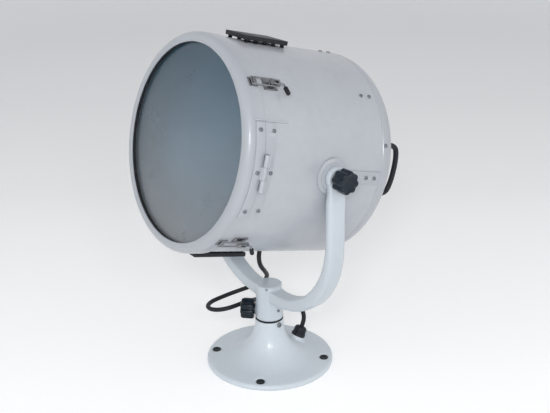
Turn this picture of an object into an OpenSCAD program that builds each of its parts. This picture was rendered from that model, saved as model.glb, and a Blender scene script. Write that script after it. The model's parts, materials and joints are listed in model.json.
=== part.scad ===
// Deck searchlight on a pedestal: a round lamp drum tilts in a cast yoke,
// and the yoke trains on a bolted base. All sizes are in millimetres.
// The origin is the centre of the base's underside, +Z is up, and the light looks along -Y.

/* [Base] */
// Radius of the base flange
base_r = 120; // [110:1:135]
// Thickness of the flange at its rim
base_rim = 9; // [7:0.5:12]
// Distance from the rim to the middle of a deck bolt
bolt_in = 16; // [13:1:20]
// Number of deck bolts
bolt_count = 4; // [3:1:8]
// Radius of a deck bolt hole
bolt_hole_r = 6.75; // [5:0.25:8]
// Radius of the neck below the swivel
neck_r = 27; // [26:0.5:28.5]
// Radius of the flare between flange and neck
flare_r = 70; // [64:1:74]
// Height of the neck's top face
neck_top = 88; // [84:1:94]
// Wall of the hollow casting
base_wall = 8; // [6:0.5:10]

/* [Swivel] */
// Radius of the steel spindle
spindle_r = 12; // [10:0.5:13]
// Height of the yoke hub
hub_h = 70; // [66:1:80]
// Radius of the hub at its foot
hub_r = 26.3; // [25.5:0.1:28]
// Radius of the hub at its top
hub_top_r = 24; // [23.6:0.1:25.5]
// Thickness of the black seal ring under the hub
seal_h = 2; // [1.5:0.1:4]

/* [Yoke] */
// Height of the tilt axis above the deck
tilt_z = 423; // [415:1:440]
// Clearance between the drum and an arm
arm_gap = 5; // [4.6:0.1:9]
// Thickness of an arm at its top
arm_t = 11.6; // [9:0.1:14]
// Width of an arm along the light's axis
arm_w = 30; // [24:1:34]
// Radius of the outer curve of an arm
arm_outer_r = 165; // [150:1:172]
// Radius of the inner curve of an arm
arm_inner_r = 155; // [140:1:160]
// Thickness of the yoke's bridge at the hub
bridge_t = 22; // [18:1:26]
// Radius of the round eye at the end of an arm
eye_r = 19; // [16:0.5:22]

/* [Drum] */
// Outer radius of the lamp drum
drum_r = 181; // [160:0.5:200]
// Wall of the drum
drum_wall = 2.5; // [2:0.1:4]
// Front edge of the drum, ahead of the tilt axis
drum_front = 144; // [140:1:150]
// Rear edge of the drum, behind the tilt axis
drum_back = 107; // [105:1:115]
// Tilt of the drum at rest, front up
rest_tilt = 14.6; // [0:0.1:25]
// Radius of the rear cover's shoulder
shoulder_r = 38; // [25:1:45]
// Height of the rear cover's dome
dome_h = 10; // [5:0.5:16]

/* [Door] */
// How far the door ring stands out from the drum
door_proud = 3; // [2:0.5:5]
// Depth of the door ring
door_depth = 33; // [31:0.5:38]
// Width of the rim between the opening and the outside of the door ring
door_rim = 17.6; // [16:0.2:24]
// Radius of the door ring's nose
nose_r = 12; // [6:0.5:14]
// Depth of the glass behind the front edge
glass_inset = 9; // [8:0.5:10]
// Thickness of the glass
glass_t = 5.6; // [4:0.2:8]
// Half angle that a hinge leaf covers
leaf_half = 24.5; // [22:0.5:28]

/* [Latches] */
// Angle of the upper latches above the level
latch_angle = 45; // [38:1:52]
// Throw from the lever's pivot to the link's pivot
latch_throw = 7.7; // [7:0.1:8.4]
// Wire radius of a latch link
wire_r = 1.2; // [1:0.1:1.4]

/* [Vents and handles] */
// Width of a vent cover
vent_w = 60; // [50:1:70]
// Length of the upper vent cover
vent_l = 88; // [70:1:96]
// How much further ahead the lower vent cover reaches
vent_more = 20; // [0:1:22]
// Place of the vents ahead of the tilt axis
vent_s = 68; // [60:1:76]
// Depth of a vent cover's turned edge
vent_h = 7.5; // [5:0.5:9]
// Distance from the middle to a rear handle
handle_x = 112; // [90:1:118]
// Half length of a handle's grip
handle_half = 45; // [36:1:50]
// Grip radius of a handle
handle_r = 5; // [4:0.5:6]
// Stand-off of a handle from the tilt axis, along the drum
handle_s = 200; // [190:1:215]

/* [Knobs] */
// Radius of a lobed knob
knob_r = 20; // [17:0.5:22]
// Length of a lobed knob's head
knob_h = 24; // [18:1:28]
// Number of lobes
knob_lobes = 8; // [5:1:9]
// Radius of a trunnion stud
stud_r = 6; // [5:0.5:7]

/* [Cable] */
// Diameter of the lamp cable
cable_d = 8.5; // [6:0.5:9]

/* [Hidden] */
$fn = 64;

// Fits: a bolted joint, a running shaft, a gap between moving faces and a seat of still ones
fit = 0.05;
run = 0.06;
gap = 0.3;
seat = 0.05;
over = 1;

// Base casting: the flare is an arc that leaves the neck upright and meets the flange level
bolt_pcd = 2 * (base_r - bolt_in);
flare_x = neck_r + flare_r;
flare_z = neck_top - 6;
flange_z = flare_z - flare_r;
cavity_r = bolt_pcd / 2 - bolt_hole_r - 11;
cavity_top = 52;
spot_r = 12;
rim_round = 3;
gland_at = 64;
gland_dir = [0, flare_x - gland_at, sqrt(pow(flare_r, 2) - pow(flare_x - gland_at, 2))] / flare_r;
gland_foot = [0, gland_at, flare_z - gland_dir[2] * flare_r];
gland_tilt = atan2(gland_dir[1], gland_dir[2]);
gland_boss_r = 15.5;
gland_boss_h = 7;

// Cable gland
thread_r = 9.8;
gland_af = 24;
gland_hex_h = 6;
gland_dome_h = 14;
locknut_h = 5;
locknut_af = 27;
gland_bore_h = 60;
gland_face_h = 21;

// Swivel stack on the spindle
flange_h = seal_h - seat;
spindle_flange_r = 20;
hub_z = neck_top + seal_h + gap;
hub_top = hub_z + hub_h;
bush_wall = 3;
bush_flange_r = 18;
bush_flange = 2.2;
lower_bush_h = 6;
upper_bush_h = 14;
nut_floor = hub_top - 25.7;
nut_h = 10;
nut_af = 32;
cap_r = 19.6;
cap_h = 9;
spindle_top = nut_floor + bush_flange + nut_h + over;
lock_z = hub_z + 13.7;
lock_az = 225;
lock_stud_r = 5;
lock_depth = 14;
lock_boss_r = 10;
lock_boss_to = hub_r + 0.5;
lock_knob_boss = 2;
pad_from = spindle_r + gap;
pad_to = pad_from + 5;
plug_z = hub_z + 20.8;
plug_az = 5.4;
cap_screw_z = hub_top - 3.9;
cap_screw_az = -47;
neck_screw_z = neck_top - 6;
neck_screw_az = 6;

// Yoke arms
arm_in = drum_r + arm_gap;
arm_out = arm_in + arm_t;
arm_outer_x = arm_out - arm_outer_r;
arm_inner_x = arm_in - arm_inner_r;
bridge_z = hub_z + 40.7;
arm_outer_z = bridge_z + arm_outer_r;
arm_inner_z = bridge_z + bridge_t + arm_inner_r;
bush_out = stud_r + run + 3;

// Drum, in its own frame: x to the side, y up, z ahead along the light's axis
drum_in = drum_r - drum_wall;
door_r = drum_r + door_proud;
opening_r = door_r - door_rim;
seal_ro = drum_r - 1.4;
seal_ri = seal_ro - 3.6;
seal_groove = 3;
rim_in = seal_ri - 2;
rim_t = 6;
door_back = drum_front + 1;
door_front = door_back + door_depth;
door_in = seal_ri;
spigot_to = 88;
spigot_in = drum_in - drum_wall;
cover_screw_s = -92.5;
ring_screw_s = -74;
earth_screw_s = -113;
earth_screw_a = 17.7;
cover_flat_r = drum_r - shoulder_r;
cover_z = -drum_back - 3;
dome_z = cover_z - shoulder_r;
dome_r = (pow(cover_flat_r, 2) + pow(dome_h, 2)) / (2 * dome_h);

// Screws
screw_r = 2;
screw_head_r = 4;
screw_head_h = 2.2;
hub_screw_r = 3;
neck_screw_r = 5;
screw_len = 7;
screw_reach = 20;

// Trunnions
plate_r = 31;
plate_face = arm_in - 2;
strip_t = 2.2;
strip_half = 11;
strip_back = drum_back - 2;
washer_r = 24;
stud_in = drum_in - 10;
knob_boss = 5;
knob_from = arm_out + 1;
stud_out = knob_from + knob_boss + 18;
trunnion_nut_af = 19;

// Door glass stack, from the front
lip_t = 2.6;
glass_front = door_front - glass_inset;
glass_r = opening_r + 7;
gasket_r = door_in - 0.2;
gasket_lip = 2.4;
retainer_t = 3.6;

// Hinge at the right-hand side, its pin upright in the drum's frame
leaf_t = 2;
pin_r = 2;
knuckle_r = 3.8;
pin_x = door_r + leaf_t + 0.1 + knuckle_r + gap;
pin_s = door_back - 0.1;
knuckle_in = 9.8;
knuckle_out = 30;
leaf_back = 124;
leaf_front = door_back + 18;
leaf_screw_angles = [-20.5, 0, 20.5];
drum_leaf_screw_s = 127.5;
door_leaf_screw_s = door_back + 10.5;

// Latches, each in a frame turned to its own angle: x outward, y along the rim, z ahead
latch_s = 121;
latch_lift = 8;
pivot_r = drum_r + latch_lift;
ear_half = 2;
cheek_in = 2.3;
cheek_out = 4.9;
latch_pin_r = 1.5;
link_drop = 0.7;
link_s = latch_s - sqrt(pow(latch_throw, 2) - pow(link_drop, 2));
link_x = pivot_r - link_drop;
link_y = cheek_out + 0.5 + wire_r;
bar_s = door_back + 15;
keeper_t = 1.6;
handle_wire_r = 1.7;
sleeve_r = 3.2;
latch_sides = [["upper_right", latch_angle, -1, 1], ["upper_left", 180 - latch_angle, 1, 1],
    ["lower_right", -latch_angle, -1, 0], ["lower_left", 180 + latch_angle, 1, 0]];

// Vents
vent_wall = 2;
vent_lift = 3;
vent_top = drum_r + vent_lift + vent_h;
vent_hole_w = 36;
spacer_r = 3.5;
spacer_count = 5;
spacer_x = vent_w / 2 - vent_wall - spacer_r - 1;
spacer_s = vent_l / 2 - vent_wall - spacer_r - 1;

// Handles
bow = 6;
bow_r = (pow(handle_half, 2) + pow(bow, 2)) / (2 * bow);
foot_r = 9;
foot_h = 4;

// Lamp
focal = 60;
vertex_s = -10;
neck_in = 24;
dish_r = drum_in - 18.5;
dish_t = 1.6;
bracket_s = -68;
bracket_t = 3;
bulb_r = 11;
bulb_h = 42;
bulb_s = 20;
block_w = 48;
block_h = 20;
block_d = 16;
drum_gland_s = -29;
drum_gland_in = 0.65;

// The cable's route from the base gland to its turn, and from the turn to the drum's gland
gland_tip = gland_foot + gland_dir * (gland_boss_h + gland_hex_h + gland_dome_h);
drum_up = [0, sin(rest_tilt), cos(rest_tilt)];
drum_ahead = [0, -cos(rest_tilt), sin(rest_tilt)];
drum_gland_tip = [0, 0, tilt_z] - drum_up * (drum_r + locknut_h + 2) + drum_ahead * drum_gland_s;
turn = [-98, -70.5, 86.5];
turn_dir = [0.99, 0, 0.14];
cable_end = 0.3;
lower_route = [gland_tip + gland_dir * cable_end, gland_tip + gland_dir * 5, [-1.1, 82.7, 56.6],
    [-4.4, 84.9, 64.7], [-9.6, 85.4, 72.1], [-16.2, 84.3, 78.1], [-23.7, 81.6, 82.2], [-31.5, 77.5, 84.1],
    [-40, 70.5, 86.5], [-47.5, 60, 88.5], [-53.5, 47.5, 91], [-58.5, 32, 94], [-61, 16.5, 96.5],
    [-62, 0.5, 97.5], [-63, -15, 97.5], [-64, -30, 96.3], [-67, -44.5, 94], [-74, -57.5, 91.2],
    [-84.5, -67, 88.8], [-91.2, -70.1, 87.5], turn + turn_dir * 0.1];
upper_route = [turn - turn_dir * 0.1, [-104.8, -70.2, 85.5], [-111.5, -67.5, 84.6], [-122.5, -58, 83.4],
    [-129, -44, 83], [-131, -28, 83.5], [-130, -11, 85.5], [-126, 5, 88.8], [-119, 19, 93.5],
    [-109, 29.5, 100], [-97, 35.5, 107.5], [-84, 37, 115.5], [-71.5, 35.5, 123.5], [-60.5, 32.5, 132],
    [-50.5, 28.5, 141], [-41.5, 24.5, 150.5], [-33, 18.5, 160.5], [-24.5, 9, 170.5], [-16, 0, 180.5],
    [-8.5, -10, 191], [-3, -18, 203], [-0.6, -21.5, 215], drum_gland_tip - drum_up * 7,
    drum_gland_tip - drum_up * cable_end];

// Curves
function unit(v) = v / norm(v);
function bend(a, b, c, d, t) = 0.5 * (2 * b + (c - a) * t + (2 * a - 5 * b + 4 * c - d) * t * t
    + (3 * b - a - 3 * c + d) * t * t * t);
function smooth(p, n) = [for (i = [0:len(p) - 2]) for (k = [0:n - 1])
    bend(p[max(i - 1, 0)], p[i], p[i + 1], p[min(i + 2, len(p) - 1)], k / n), p[len(p) - 1]];
function along(q, i) = unit(q[min(i + 1, len(q) - 1)] - q[max(i - 1, 0)]);
function carried(q, u, i = 0) = i == len(q) ? [] :
    let (v = unit(u - (u * along(q, i)) * along(q, i))) concat([v], carried(q, v, i + 1));
function dish_s(r) = vertex_s + r * r / (4 * focal);

// A tube swept along a route
module tube(route, r, sides = 8, n = 2) {
    q = smooth(route, n);
    u = carried(q, [1, 0.2, 0.1]);
    rings = [for (i = [0:len(q) - 1]) for (k = [0:sides - 1])
        q[i] + r * (cos(360 * k / sides) * u[i] + sin(360 * k / sides) * cross(along(q, i), u[i]))];
    last = (len(q) - 1) * sides;
    polyhedron(rings, concat(
        [[for (k = [0:sides - 1]) k]],
        [for (i = [0:len(q) - 2]) for (k = [0:sides - 1])
            [i * sides + k, (i + 1) * sides + k,
                (i + 1) * sides + (k + 1) % sides, i * sides + (k + 1) % sides]],
        [[for (k = [sides - 1:-1:0]) last + k]]));
}

// Cuts a round off the corner of an outline that lies towards minus x and away from side
module corner_cut(at, r, side = 1) translate([at[0] - r, at[1] - side * r])
    mirror([0, side < 0 ? 1 : 0]) difference() {
        square(r + over);
        circle(r, $fn = 96);
    }
// The region inside the rear cover, drawn in by a wall
module cover_region(w) {
    difference() {
        translate([0, dome_z + w]) square([drum_r - w, -drum_back - 0.4 - dome_z - w]);
        corner_cut([drum_r - w, dome_z + w], shoulder_r - w, -1);
    }
    intersection() {
        translate([0, dome_z - dome_h + dome_r]) circle(dome_r - w, $fn = 256);
        translate([0, dome_z - 2 * dome_h]) square([cover_flat_r, 2 * dome_h + shoulder_r / 2]);
    }
}

// Frames
module drum_frame() translate([0, 0, tilt_z]) rotate([90 - rest_tilt, 0, 0]) children();
module both_sides() for (m = [0, 1]) mirror([m, 0, 0]) children();
module turned(angles) for (a = angles) rotate([0, 0, a]) children();
module outward(r, s = 0) translate([r, 0, s]) rotate([0, 90, 0]) children();
module gland_frame() translate(gland_foot) rotate([-gland_tilt, 0, 0]) children();
module drum_gland_frame() rotate([0, 0, -90]) outward(drum_in - drum_gland_in, drum_gland_s)
    mirror([0, 0, 1]) children();

// Shared shapes
module ring(ro, ri, z0, z1) translate([0, 0, z0]) difference() {
    cylinder(r = ro, h = z1 - z0);
    translate([0, 0, -over]) cylinder(r = ri, h = z1 - z0 + 2 * over);
}
module hexagon(af, z0, z1) translate([0, 0, z0]) cylinder(d = af / cos(30), h = z1 - z0, $fn = 6);
module hex_nut(af, bore, z0, z1) difference() {
    hexagon(af, z0, z1);
    translate([0, 0, z0 - over]) cylinder(r = bore, h = z1 - z0 + 2 * over);
}
module pan_screw(r, s, length = screw_len, head = screw_head_r) outward(r, s) {
    cylinder(r = head, h = screw_head_h);
    translate([0, 0, -length]) cylinder(r = screw_r, h = length + over);
}
module screw_hole(r, s) outward(r - screw_reach, s) cylinder(r = screw_r + fit, h = 2 * screw_reach);
// A strip bent round the drum's axis, half as high as given
module bent_strip(ri, ro, half, s0, s1) intersection() {
    ring(ro, ri, s0, s1);
    translate([0, -half, s0 - over]) cube([2 * ro, 2 * half, s1 - s0 + 2 * over]);
}
module gland_body(wall) {
    hexagon(gland_af, 0, gland_hex_h);
    translate([0, 0, -wall - locknut_h - 2]) cylinder(r = thread_r, h = wall + locknut_h + 2 + over);
}
module gland_locknut(wall) hex_nut(locknut_af, thread_r + fit, -wall - seat - locknut_h, -wall - seat);
module gland_dome() rotate_extrude() difference() {
    translate([0, gland_hex_h + seat]) square([gland_af / 2, gland_dome_h - seat]);
    corner_cut([gland_af / 2, gland_hex_h + gland_dome_h], gland_af / 4);
}
module lobe_outline() {
    circle(knob_r * 0.82);
    for (k = [0:knob_lobes - 1]) rotate(360 * k / knob_lobes)
        translate([knob_r * 0.79, 0]) circle(knob_r * 0.21);
}
module lobed_knob(bore, depth, boss) difference() {
    union() {
        cylinder(r = knob_r * 0.5, h = boss + over);
        translate([0, 0, boss]) intersection() {
            linear_extrude(knob_h) lobe_outline();
            rotate_extrude() polygon([[0, 0], [knob_r - 1.5, 0], [knob_r + 0.5, 2], [knob_r + 0.5, knob_h - 6],
                [knob_r - 3, knob_h - 2], [knob_r * 0.5, knob_h], [0, knob_h]]);
        }
    }
    translate([0, 0, -over]) cylinder(r = bore, h = depth + over);
}

// Base
module pedestal_base() color("gainsboro") difference() {
    union() {
        rotate_extrude() difference() {
            union() {
                square([neck_r, neck_top]);
                square([flare_x, flare_z]);
                square([base_r, base_rim]);
                polygon([[flare_x - over, 0], [base_r - 2, 0], [base_r - 2, base_rim + 1],
                    [flare_x - over, flange_z]]);
            }
            translate([flare_x, flare_z]) circle(flare_r, $fn = 128);
            corner_cut([base_r, base_rim], rim_round);
        }
        intersection() {
            gland_frame() translate([0, 0, -base_wall / 2])
                cylinder(r = gland_boss_r, h = base_wall / 2 + gland_boss_h);
            cylinder(r = base_r, h = neck_top);
        }
    }
    translate([0, 0, -over]) rotate_extrude() difference() {
        square([cavity_r, cavity_top + over]);
        translate([flare_x, flare_z + over]) circle(flare_r + base_wall, $fn = 128);
    }
    cylinder(r = spindle_r + fit, h = neck_top + over);
    for (k = [0:bolt_count - 1]) rotate(45 + 360 * k / bolt_count) translate([bolt_pcd / 2, 0, 0]) {
        translate([0, 0, -over]) cylinder(r = bolt_hole_r, h = base_rim + 10);
        translate([0, 0, base_rim + 1]) cylinder(r = spot_r, h = 20);
    }
    gland_frame() {
        translate([0, 0, -gland_bore_h / 2]) cylinder(r = thread_r + fit, h = gland_bore_h);
        translate([0, 0, over - base_wall - gland_face_h]) cylinder(r = locknut_af / 2 + 4, h = gland_face_h);
    }
    rotate(neck_screw_az) outward(spindle_r, neck_screw_z) cylinder(r = screw_r + fit, h = neck_r);
}
module swivel_spindle() color("silver") {
    translate([0, 0, cavity_top - nut_h - 4]) cylinder(r = spindle_r, h = spindle_top - cavity_top + nut_h + 4);
    translate([0, 0, neck_top + seat]) cylinder(r = spindle_flange_r, h = flange_h);
}
module spindle_nut() color("silver")
    hex_nut(nut_af, spindle_r + fit, nut_floor + bush_flange + gap, nut_floor + bush_flange + gap + nut_h);
module spindle_lower_nut() color("silver")
    hex_nut(nut_af + 4, spindle_r + fit, cavity_top - seat - nut_h, cavity_top - seat);
module swivel_seal() color("#202020") ring(hub_r, spindle_flange_r + gap, neck_top + seat, neck_top + seal_h);
module spindle_lock_screw() color("silver")
    rotate(neck_screw_az)
        pan_screw(neck_r + 6 * seat, neck_screw_z, neck_r - spindle_r - 2 * fit, neck_screw_r);
module base_gland() color("#202020") gland_frame() translate([0, 0, gland_boss_h + seat]) {
    gland_body(base_wall + gland_boss_h);
    gland_locknut(base_wall + gland_boss_h - over + seat);
}
module base_gland_nut() color("#202020") gland_frame() translate([0, 0, gland_boss_h]) gland_dome();
module cable_lower() color("#181818") tube(lower_route, cable_d / 2);

// Yoke
module arm_outline() intersection() {
    difference() {
        union() {
            translate([arm_outer_x, arm_outer_z]) circle(arm_outer_r, $fn = 128);
            translate([0, bridge_z]) square([arm_outer_x, arm_outer_r]);
            translate([arm_outer_x, arm_outer_z]) square([arm_outer_r, tilt_z - arm_outer_z]);
        }
        translate([arm_inner_x, arm_inner_z]) circle(arm_inner_r, $fn = 128);
        translate([-over, bridge_z + bridge_t]) square([arm_inner_x + over, 2 * tilt_z]);
        translate([-over, arm_inner_z]) square([arm_in + over, 2 * tilt_z]);
    }
    square([arm_out, tilt_z]);
}
module yoke() color("gainsboro") difference() {
    union() {
        translate([0, 0, hub_z]) cylinder(r1 = hub_r, r2 = hub_top_r, h = hub_h);
        both_sides() {
            rotate([90, 0, 0]) linear_extrude(arm_w, center = true) arm_outline();
            translate([0, 0, tilt_z]) outward(arm_in) cylinder(r = eye_r, h = arm_t);
        }
        rotate(lock_az) outward(spindle_r + 4, lock_z)
            cylinder(r = lock_boss_r, h = lock_boss_to - spindle_r - 4);
    }
    translate([0, 0, hub_z - over]) cylinder(r = spindle_r + bush_wall + fit, h = hub_h);
    translate([0, 0, hub_z - over]) cylinder(r = bush_flange_r + 1, h = over + bush_flange);
    translate([0, 0, nut_floor]) cylinder(r = cap_r + 2 * fit, h = hub_h);
    both_sides() translate([0, 0, tilt_z]) outward(arm_in - over)
        cylinder(r = bush_out + fit, h = arm_t + 2 * over);
    rotate(lock_az) outward(0, lock_z) cylinder(r = lock_stud_r + run, h = lock_boss_to + over);
    rotate(plug_az) outward(spindle_r, plug_z) cylinder(r = screw_r + fit, h = hub_r);
    for (k = [0:2]) rotate(cap_screw_az + 120 * k) outward(cap_r - over, cap_screw_z)
        cylinder(r = screw_r + fit, h = hub_r);
}
module swivel_bushes() color("tan") {
    ring(spindle_r + bush_wall, spindle_r + run, hub_z, hub_z + bush_flange + lower_bush_h);
    ring(bush_flange_r, spindle_r + run, neck_top + flange_h + seat + gap, hub_z + bush_flange - seat);
    ring(spindle_r + bush_wall, spindle_r + run, nut_floor - upper_bush_h, nut_floor + over);
    ring(bush_flange_r, spindle_r + run, nut_floor + seat, nut_floor + bush_flange);
}
module hub_cap() color("gainsboro") difference() {
    translate([0, 0, hub_top - cap_h]) cylinder(r = cap_r, h = cap_h);
    for (k = [0:2]) rotate(cap_screw_az + 120 * k) outward(cap_r - 6, cap_screw_z)
        cylinder(r = screw_r + fit, h = hub_r);
}
module hub_cap_screws() color("silver") for (k = [0:2]) rotate(cap_screw_az + 120 * k)
    pan_screw(hub_top_r + 0.4, cap_screw_z, hub_top_r - cap_r + 5, hub_screw_r);
module grease_plug() color("silver") rotate(plug_az)
    pan_screw(hub_r - 0.3, plug_z, hub_r - spindle_r - bush_wall - 1, hub_screw_r);
module brake_pad() color("ivory") rotate(lock_az) outward(pad_from, lock_z)
    cylinder(r = lock_stud_r, h = pad_to - pad_from);
module tilt_bushes() color("tan") both_sides() translate([0, 0, tilt_z]) rotate([0, 90, 0])
    ring(bush_out, stud_r + run, arm_in + fit, arm_out - fit);
module tilt_washers() color("dimgray") both_sides() translate([0, 0, tilt_z]) rotate([0, 90, 0])
    ring(washer_r, stud_r + run, plate_face + gap, arm_in - seat);
module cable_upper() color("#181818") tube(upper_route, cable_d / 2);

// Train lock
module train_lock_stud() color("silver") rotate(lock_az) outward(pad_to + gap, lock_z)
    cylinder(r = lock_stud_r, h = lock_boss_to + lock_knob_boss + lock_depth - pad_to - gap);
module train_lock_knob() color("#202020") rotate(lock_az) outward(lock_boss_to + gap, lock_z)
    lobed_knob(lock_stud_r + fit, lock_knob_boss + lock_depth, lock_knob_boss);

// Drum
module drum_outline() polygon([
    [drum_in, -drum_back], [drum_r, -drum_back], [drum_r, drum_front], [seal_ro, drum_front],
    [seal_ro, drum_front - seal_groove], [seal_ri, drum_front - seal_groove], [seal_ri, drum_front],
    [rim_in, drum_front], [rim_in, drum_front - rim_t], [drum_in, drum_front - rim_t]]);
module drum_shell() color("gainsboro") drum_frame() difference() {
    rotate_extrude($fn = 128) drum_outline();
    for (m = [0, 1]) mirror([0, m, 0])
        translate([-vent_hole_w / 2, drum_r / 2, vent_s - vent_l / 2 + 14])
            cube([vent_hole_w, drum_r, vent_l - 28]);
    turned([0:45:315]) {
        screw_hole(drum_r, ring_screw_s);
        screw_hole(drum_r, cover_screw_s);
    }
    turned(leaf_screw_angles) screw_hole(drum_r, drum_leaf_screw_s);
    both_sides() outward(drum_r / 2) cylinder(r = stud_r + 2 * fit, h = drum_r);
    drum_gland_frame() translate([0, 0, -gland_bore_h / 2]) cylinder(r = thread_r + fit, h = gland_bore_h);
}
module rear_cover() color("gainsboro") drum_frame() difference() {
    union() {
        rotate_extrude($fn = 128) cover_region(0);
        ring(drum_in - 2 * fit, spigot_in - over, -drum_back - over, -spigot_to);
    }
    rotate_extrude($fn = 128) intersection() {
        union() {
            cover_region(drum_wall);
            translate([0, cover_z]) square([spigot_in, -cover_z - spigot_to + over]);
        }
        translate([0, dome_z - 2 * dome_h]) square([spigot_in, drum_back + shoulder_r + 2 * dome_h]);
    }
    turned([0:45:315]) screw_hole(drum_r, cover_screw_s);
    rotate(earth_screw_a) screw_hole(drum_r, earth_screw_s);
}
module drum_screws() color("silver") drum_frame() {
    turned([45, 90, 135, 225, 270, 315]) {
        pan_screw(drum_r + seat, ring_screw_s);
        pan_screw(drum_r + seat, cover_screw_s);
    }
    turned([0, 180]) {
        pan_screw(drum_r + strip_t + 2 * seat, ring_screw_s);
        pan_screw(drum_r + strip_t + 2 * seat, cover_screw_s);
    }
    turned(leaf_screw_angles) pan_screw(drum_r + leaf_t + 3 * seat, drum_leaf_screw_s);
    rotate(earth_screw_a) pan_screw(drum_r + seat, earth_screw_s);
}
module rear_handles() color("#202020") drum_frame() both_sides() translate([handle_x, 0, 0]) difference() {
    union() {
        translate([0, 0, bow_r - bow - handle_s]) rotate([0, 90, 0])
            rotate([0, 0, -asin(handle_half / bow_r)]) rotate_extrude(angle = 2 * asin(handle_half / bow_r))
                translate([bow_r, 0]) circle(handle_r, $fn = 32);
        for (y = [-handle_half, handle_half]) translate([0, y, -handle_s]) {
            sphere(handle_r * 1.04);
            cylinder(r = handle_r, h = handle_s + dome_z + shoulder_r / 2);
            translate([0, 0, handle_s + dome_z - dome_h + 1]) cylinder(r = foot_r, h = 2 * foot_h);
        }
    }
    translate([-handle_x, 0, 0]) rotate_extrude($fn = 128) cover_region(-seat);
}
module trunnion_plates() color("gainsboro") drum_frame() both_sides() difference() {
    union() {
        outward(0) cylinder(r = plate_r, h = plate_face);
        bent_strip(drum_r - over, drum_r + strip_t + seat, strip_half, -strip_back, 0);
    }
    translate([0, 0, -drum_back]) cylinder(r = drum_r + seat, h = 2 * drum_back, $fn = 128);
    outward(0) cylinder(r = stud_r + fit, h = drum_r * 2);
    screw_hole(drum_r, ring_screw_s);
    screw_hole(drum_r, cover_screw_s);
}
module trunnion_studs() color("silver") drum_frame() both_sides() outward(stud_in - over)
    cylinder(r = stud_r, h = stud_out - stud_in);
module trunnion_nuts() color("silver") drum_frame() both_sides() outward(0)
    hex_nut(trunnion_nut_af, stud_r + fit, stud_in, drum_in - 0.5);
module vent_cover(l) difference() {
    translate([-vent_w / 2, -vent_h, 0]) cube([vent_w, vent_h, l]);
    translate([-vent_w / 2 + vent_wall, -vent_h - vent_wall, vent_wall])
        cube([vent_w - 2 * vent_wall, vent_h, l - 2 * vent_wall]);
}
module vent_covers() color("#202020") drum_frame() for (m = [0, 1]) mirror([0, m, 0])
    translate([0, vent_top, vent_s - vent_l / 2]) vent_cover(vent_l + m * vent_more);
module vent_spacers() color("#202020") drum_frame() for (m = [0, 1]) mirror([0, m, 0]) difference() {
    for (x = [-spacer_x, spacer_x]) for (k = [0:spacer_count - 1])
        translate([x, drum_r / 2, vent_s - spacer_s + k * (2 * spacer_s + m * vent_more) / (spacer_count - 1)])
            rotate([-90, 0, 0]) cylinder(r = spacer_r, h = vent_top - vent_wall - seat - drum_r / 2);
    translate([0, 0, -drum_back]) cylinder(r = drum_r + seat, h = 2 * drum_back + vent_l, $fn = 128);
}
module drum_gland() color("#202020") drum_frame() drum_gland_frame() {
    gland_body(drum_wall + drum_gland_in);
    gland_locknut(drum_wall + drum_gland_in);
}
module drum_gland_nut() color("#202020") drum_frame() drum_gland_frame() gland_dome();
module door_seal() color("#202020") drum_frame()
    ring(seal_ro - 2 * fit, seal_ri + 2 * fit, drum_front - seal_groove + seat, door_back - gap);

// Lamp
module reflector() color("silver") drum_frame() rotate_extrude($fn = 128) polygon(concat(
    [[neck_in, bracket_s + seat], [neck_in, dish_s(neck_in)]],
    [for (i = [1:10]) let (r = neck_in + (dish_r - neck_in) * i / 10) [r, dish_s(r)]],
    [[drum_in - gap, dish_s(dish_r)], [drum_in - gap, dish_s(dish_r) - dish_t]],
    [for (i = [10:-1:1]) let (r = neck_in + (dish_r - neck_in) * i / 10) [r + dish_t / 2, dish_s(r) - dish_t]],
    [[neck_in + dish_t, dish_s(neck_in) - dish_t], [neck_in + dish_t, bracket_s + seat]]));
module lamp_bracket() color("gainsboro") drum_frame() difference() {
    union() {
        ring(drum_in - gap, drum_in - 3, bracket_s - 17, bracket_s);
        ring(drum_in - 2, drum_in - 26, bracket_s - bracket_t, bracket_s);
        for (a = [0, 90]) rotate(a) translate([-drum_in + 3, -14, bracket_s - bracket_t])
            cube([2 * drum_in - 6, 28, bracket_t]);
    }
    turned([0:45:315]) screw_hole(drum_r, ring_screw_s);
}
module lamp_holder() color("ivory") drum_frame() {
    ring(neck_in - gap, 5, bracket_s + seat, bracket_s + 9);
    ring(15, 5, bracket_s + 8, bulb_s);
}
module lamp_bulb() color("white") drum_frame() translate([0, 0, bulb_s + seat]) {
    cylinder(r = bulb_r, h = bulb_h);
    translate([0, 0, bulb_h]) sphere(bulb_r);
}
module terminal_block() color("ivory") drum_frame()
    translate([-block_w / 2, -block_h / 2, bracket_s - bracket_t - seat - block_d])
        cube([block_w, block_h, block_d]);

// Hinge
module knuckle(y0, y1) translate([pin_x, y0, pin_s]) rotate([-90, 0, 0])
    cylinder(r = knuckle_r, h = y1 - y0);
module pin_bore() translate([pin_x, -2 * knuckle_out, pin_s]) rotate([-90, 0, 0])
    cylinder(r = pin_r + run, h = 4 * knuckle_out);
module hinge_drum_leaf() color("gainsboro") drum_frame() difference() {
    union() {
        bent_strip(drum_r + seat, drum_r + seat + leaf_t, drum_r * sin(leaf_half), leaf_back, drum_front - 0.4);
        for (m = [0, 1]) mirror([0, m, 0]) {
            knuckle(knuckle_in + 0.4, knuckle_out);
            difference() {
                translate([drum_r - 5, knuckle_in + 0.4, drum_front - 7])
                    cube([pin_x - drum_r + 5, knuckle_out - knuckle_in - 0.4, 6.6]);
                cylinder(r = drum_r + seat, h = 2 * drum_front, $fn = 128);
            }
        }
    }
    pin_bore();
    turned(leaf_screw_angles) screw_hole(drum_r, drum_leaf_screw_s);
}
module hinge_pin() color("silver") drum_frame() translate([pin_x, -knuckle_out - 1, pin_s]) rotate([-90, 0, 0])
    cylinder(r = pin_r, h = 2 * knuckle_out + 2);
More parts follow.
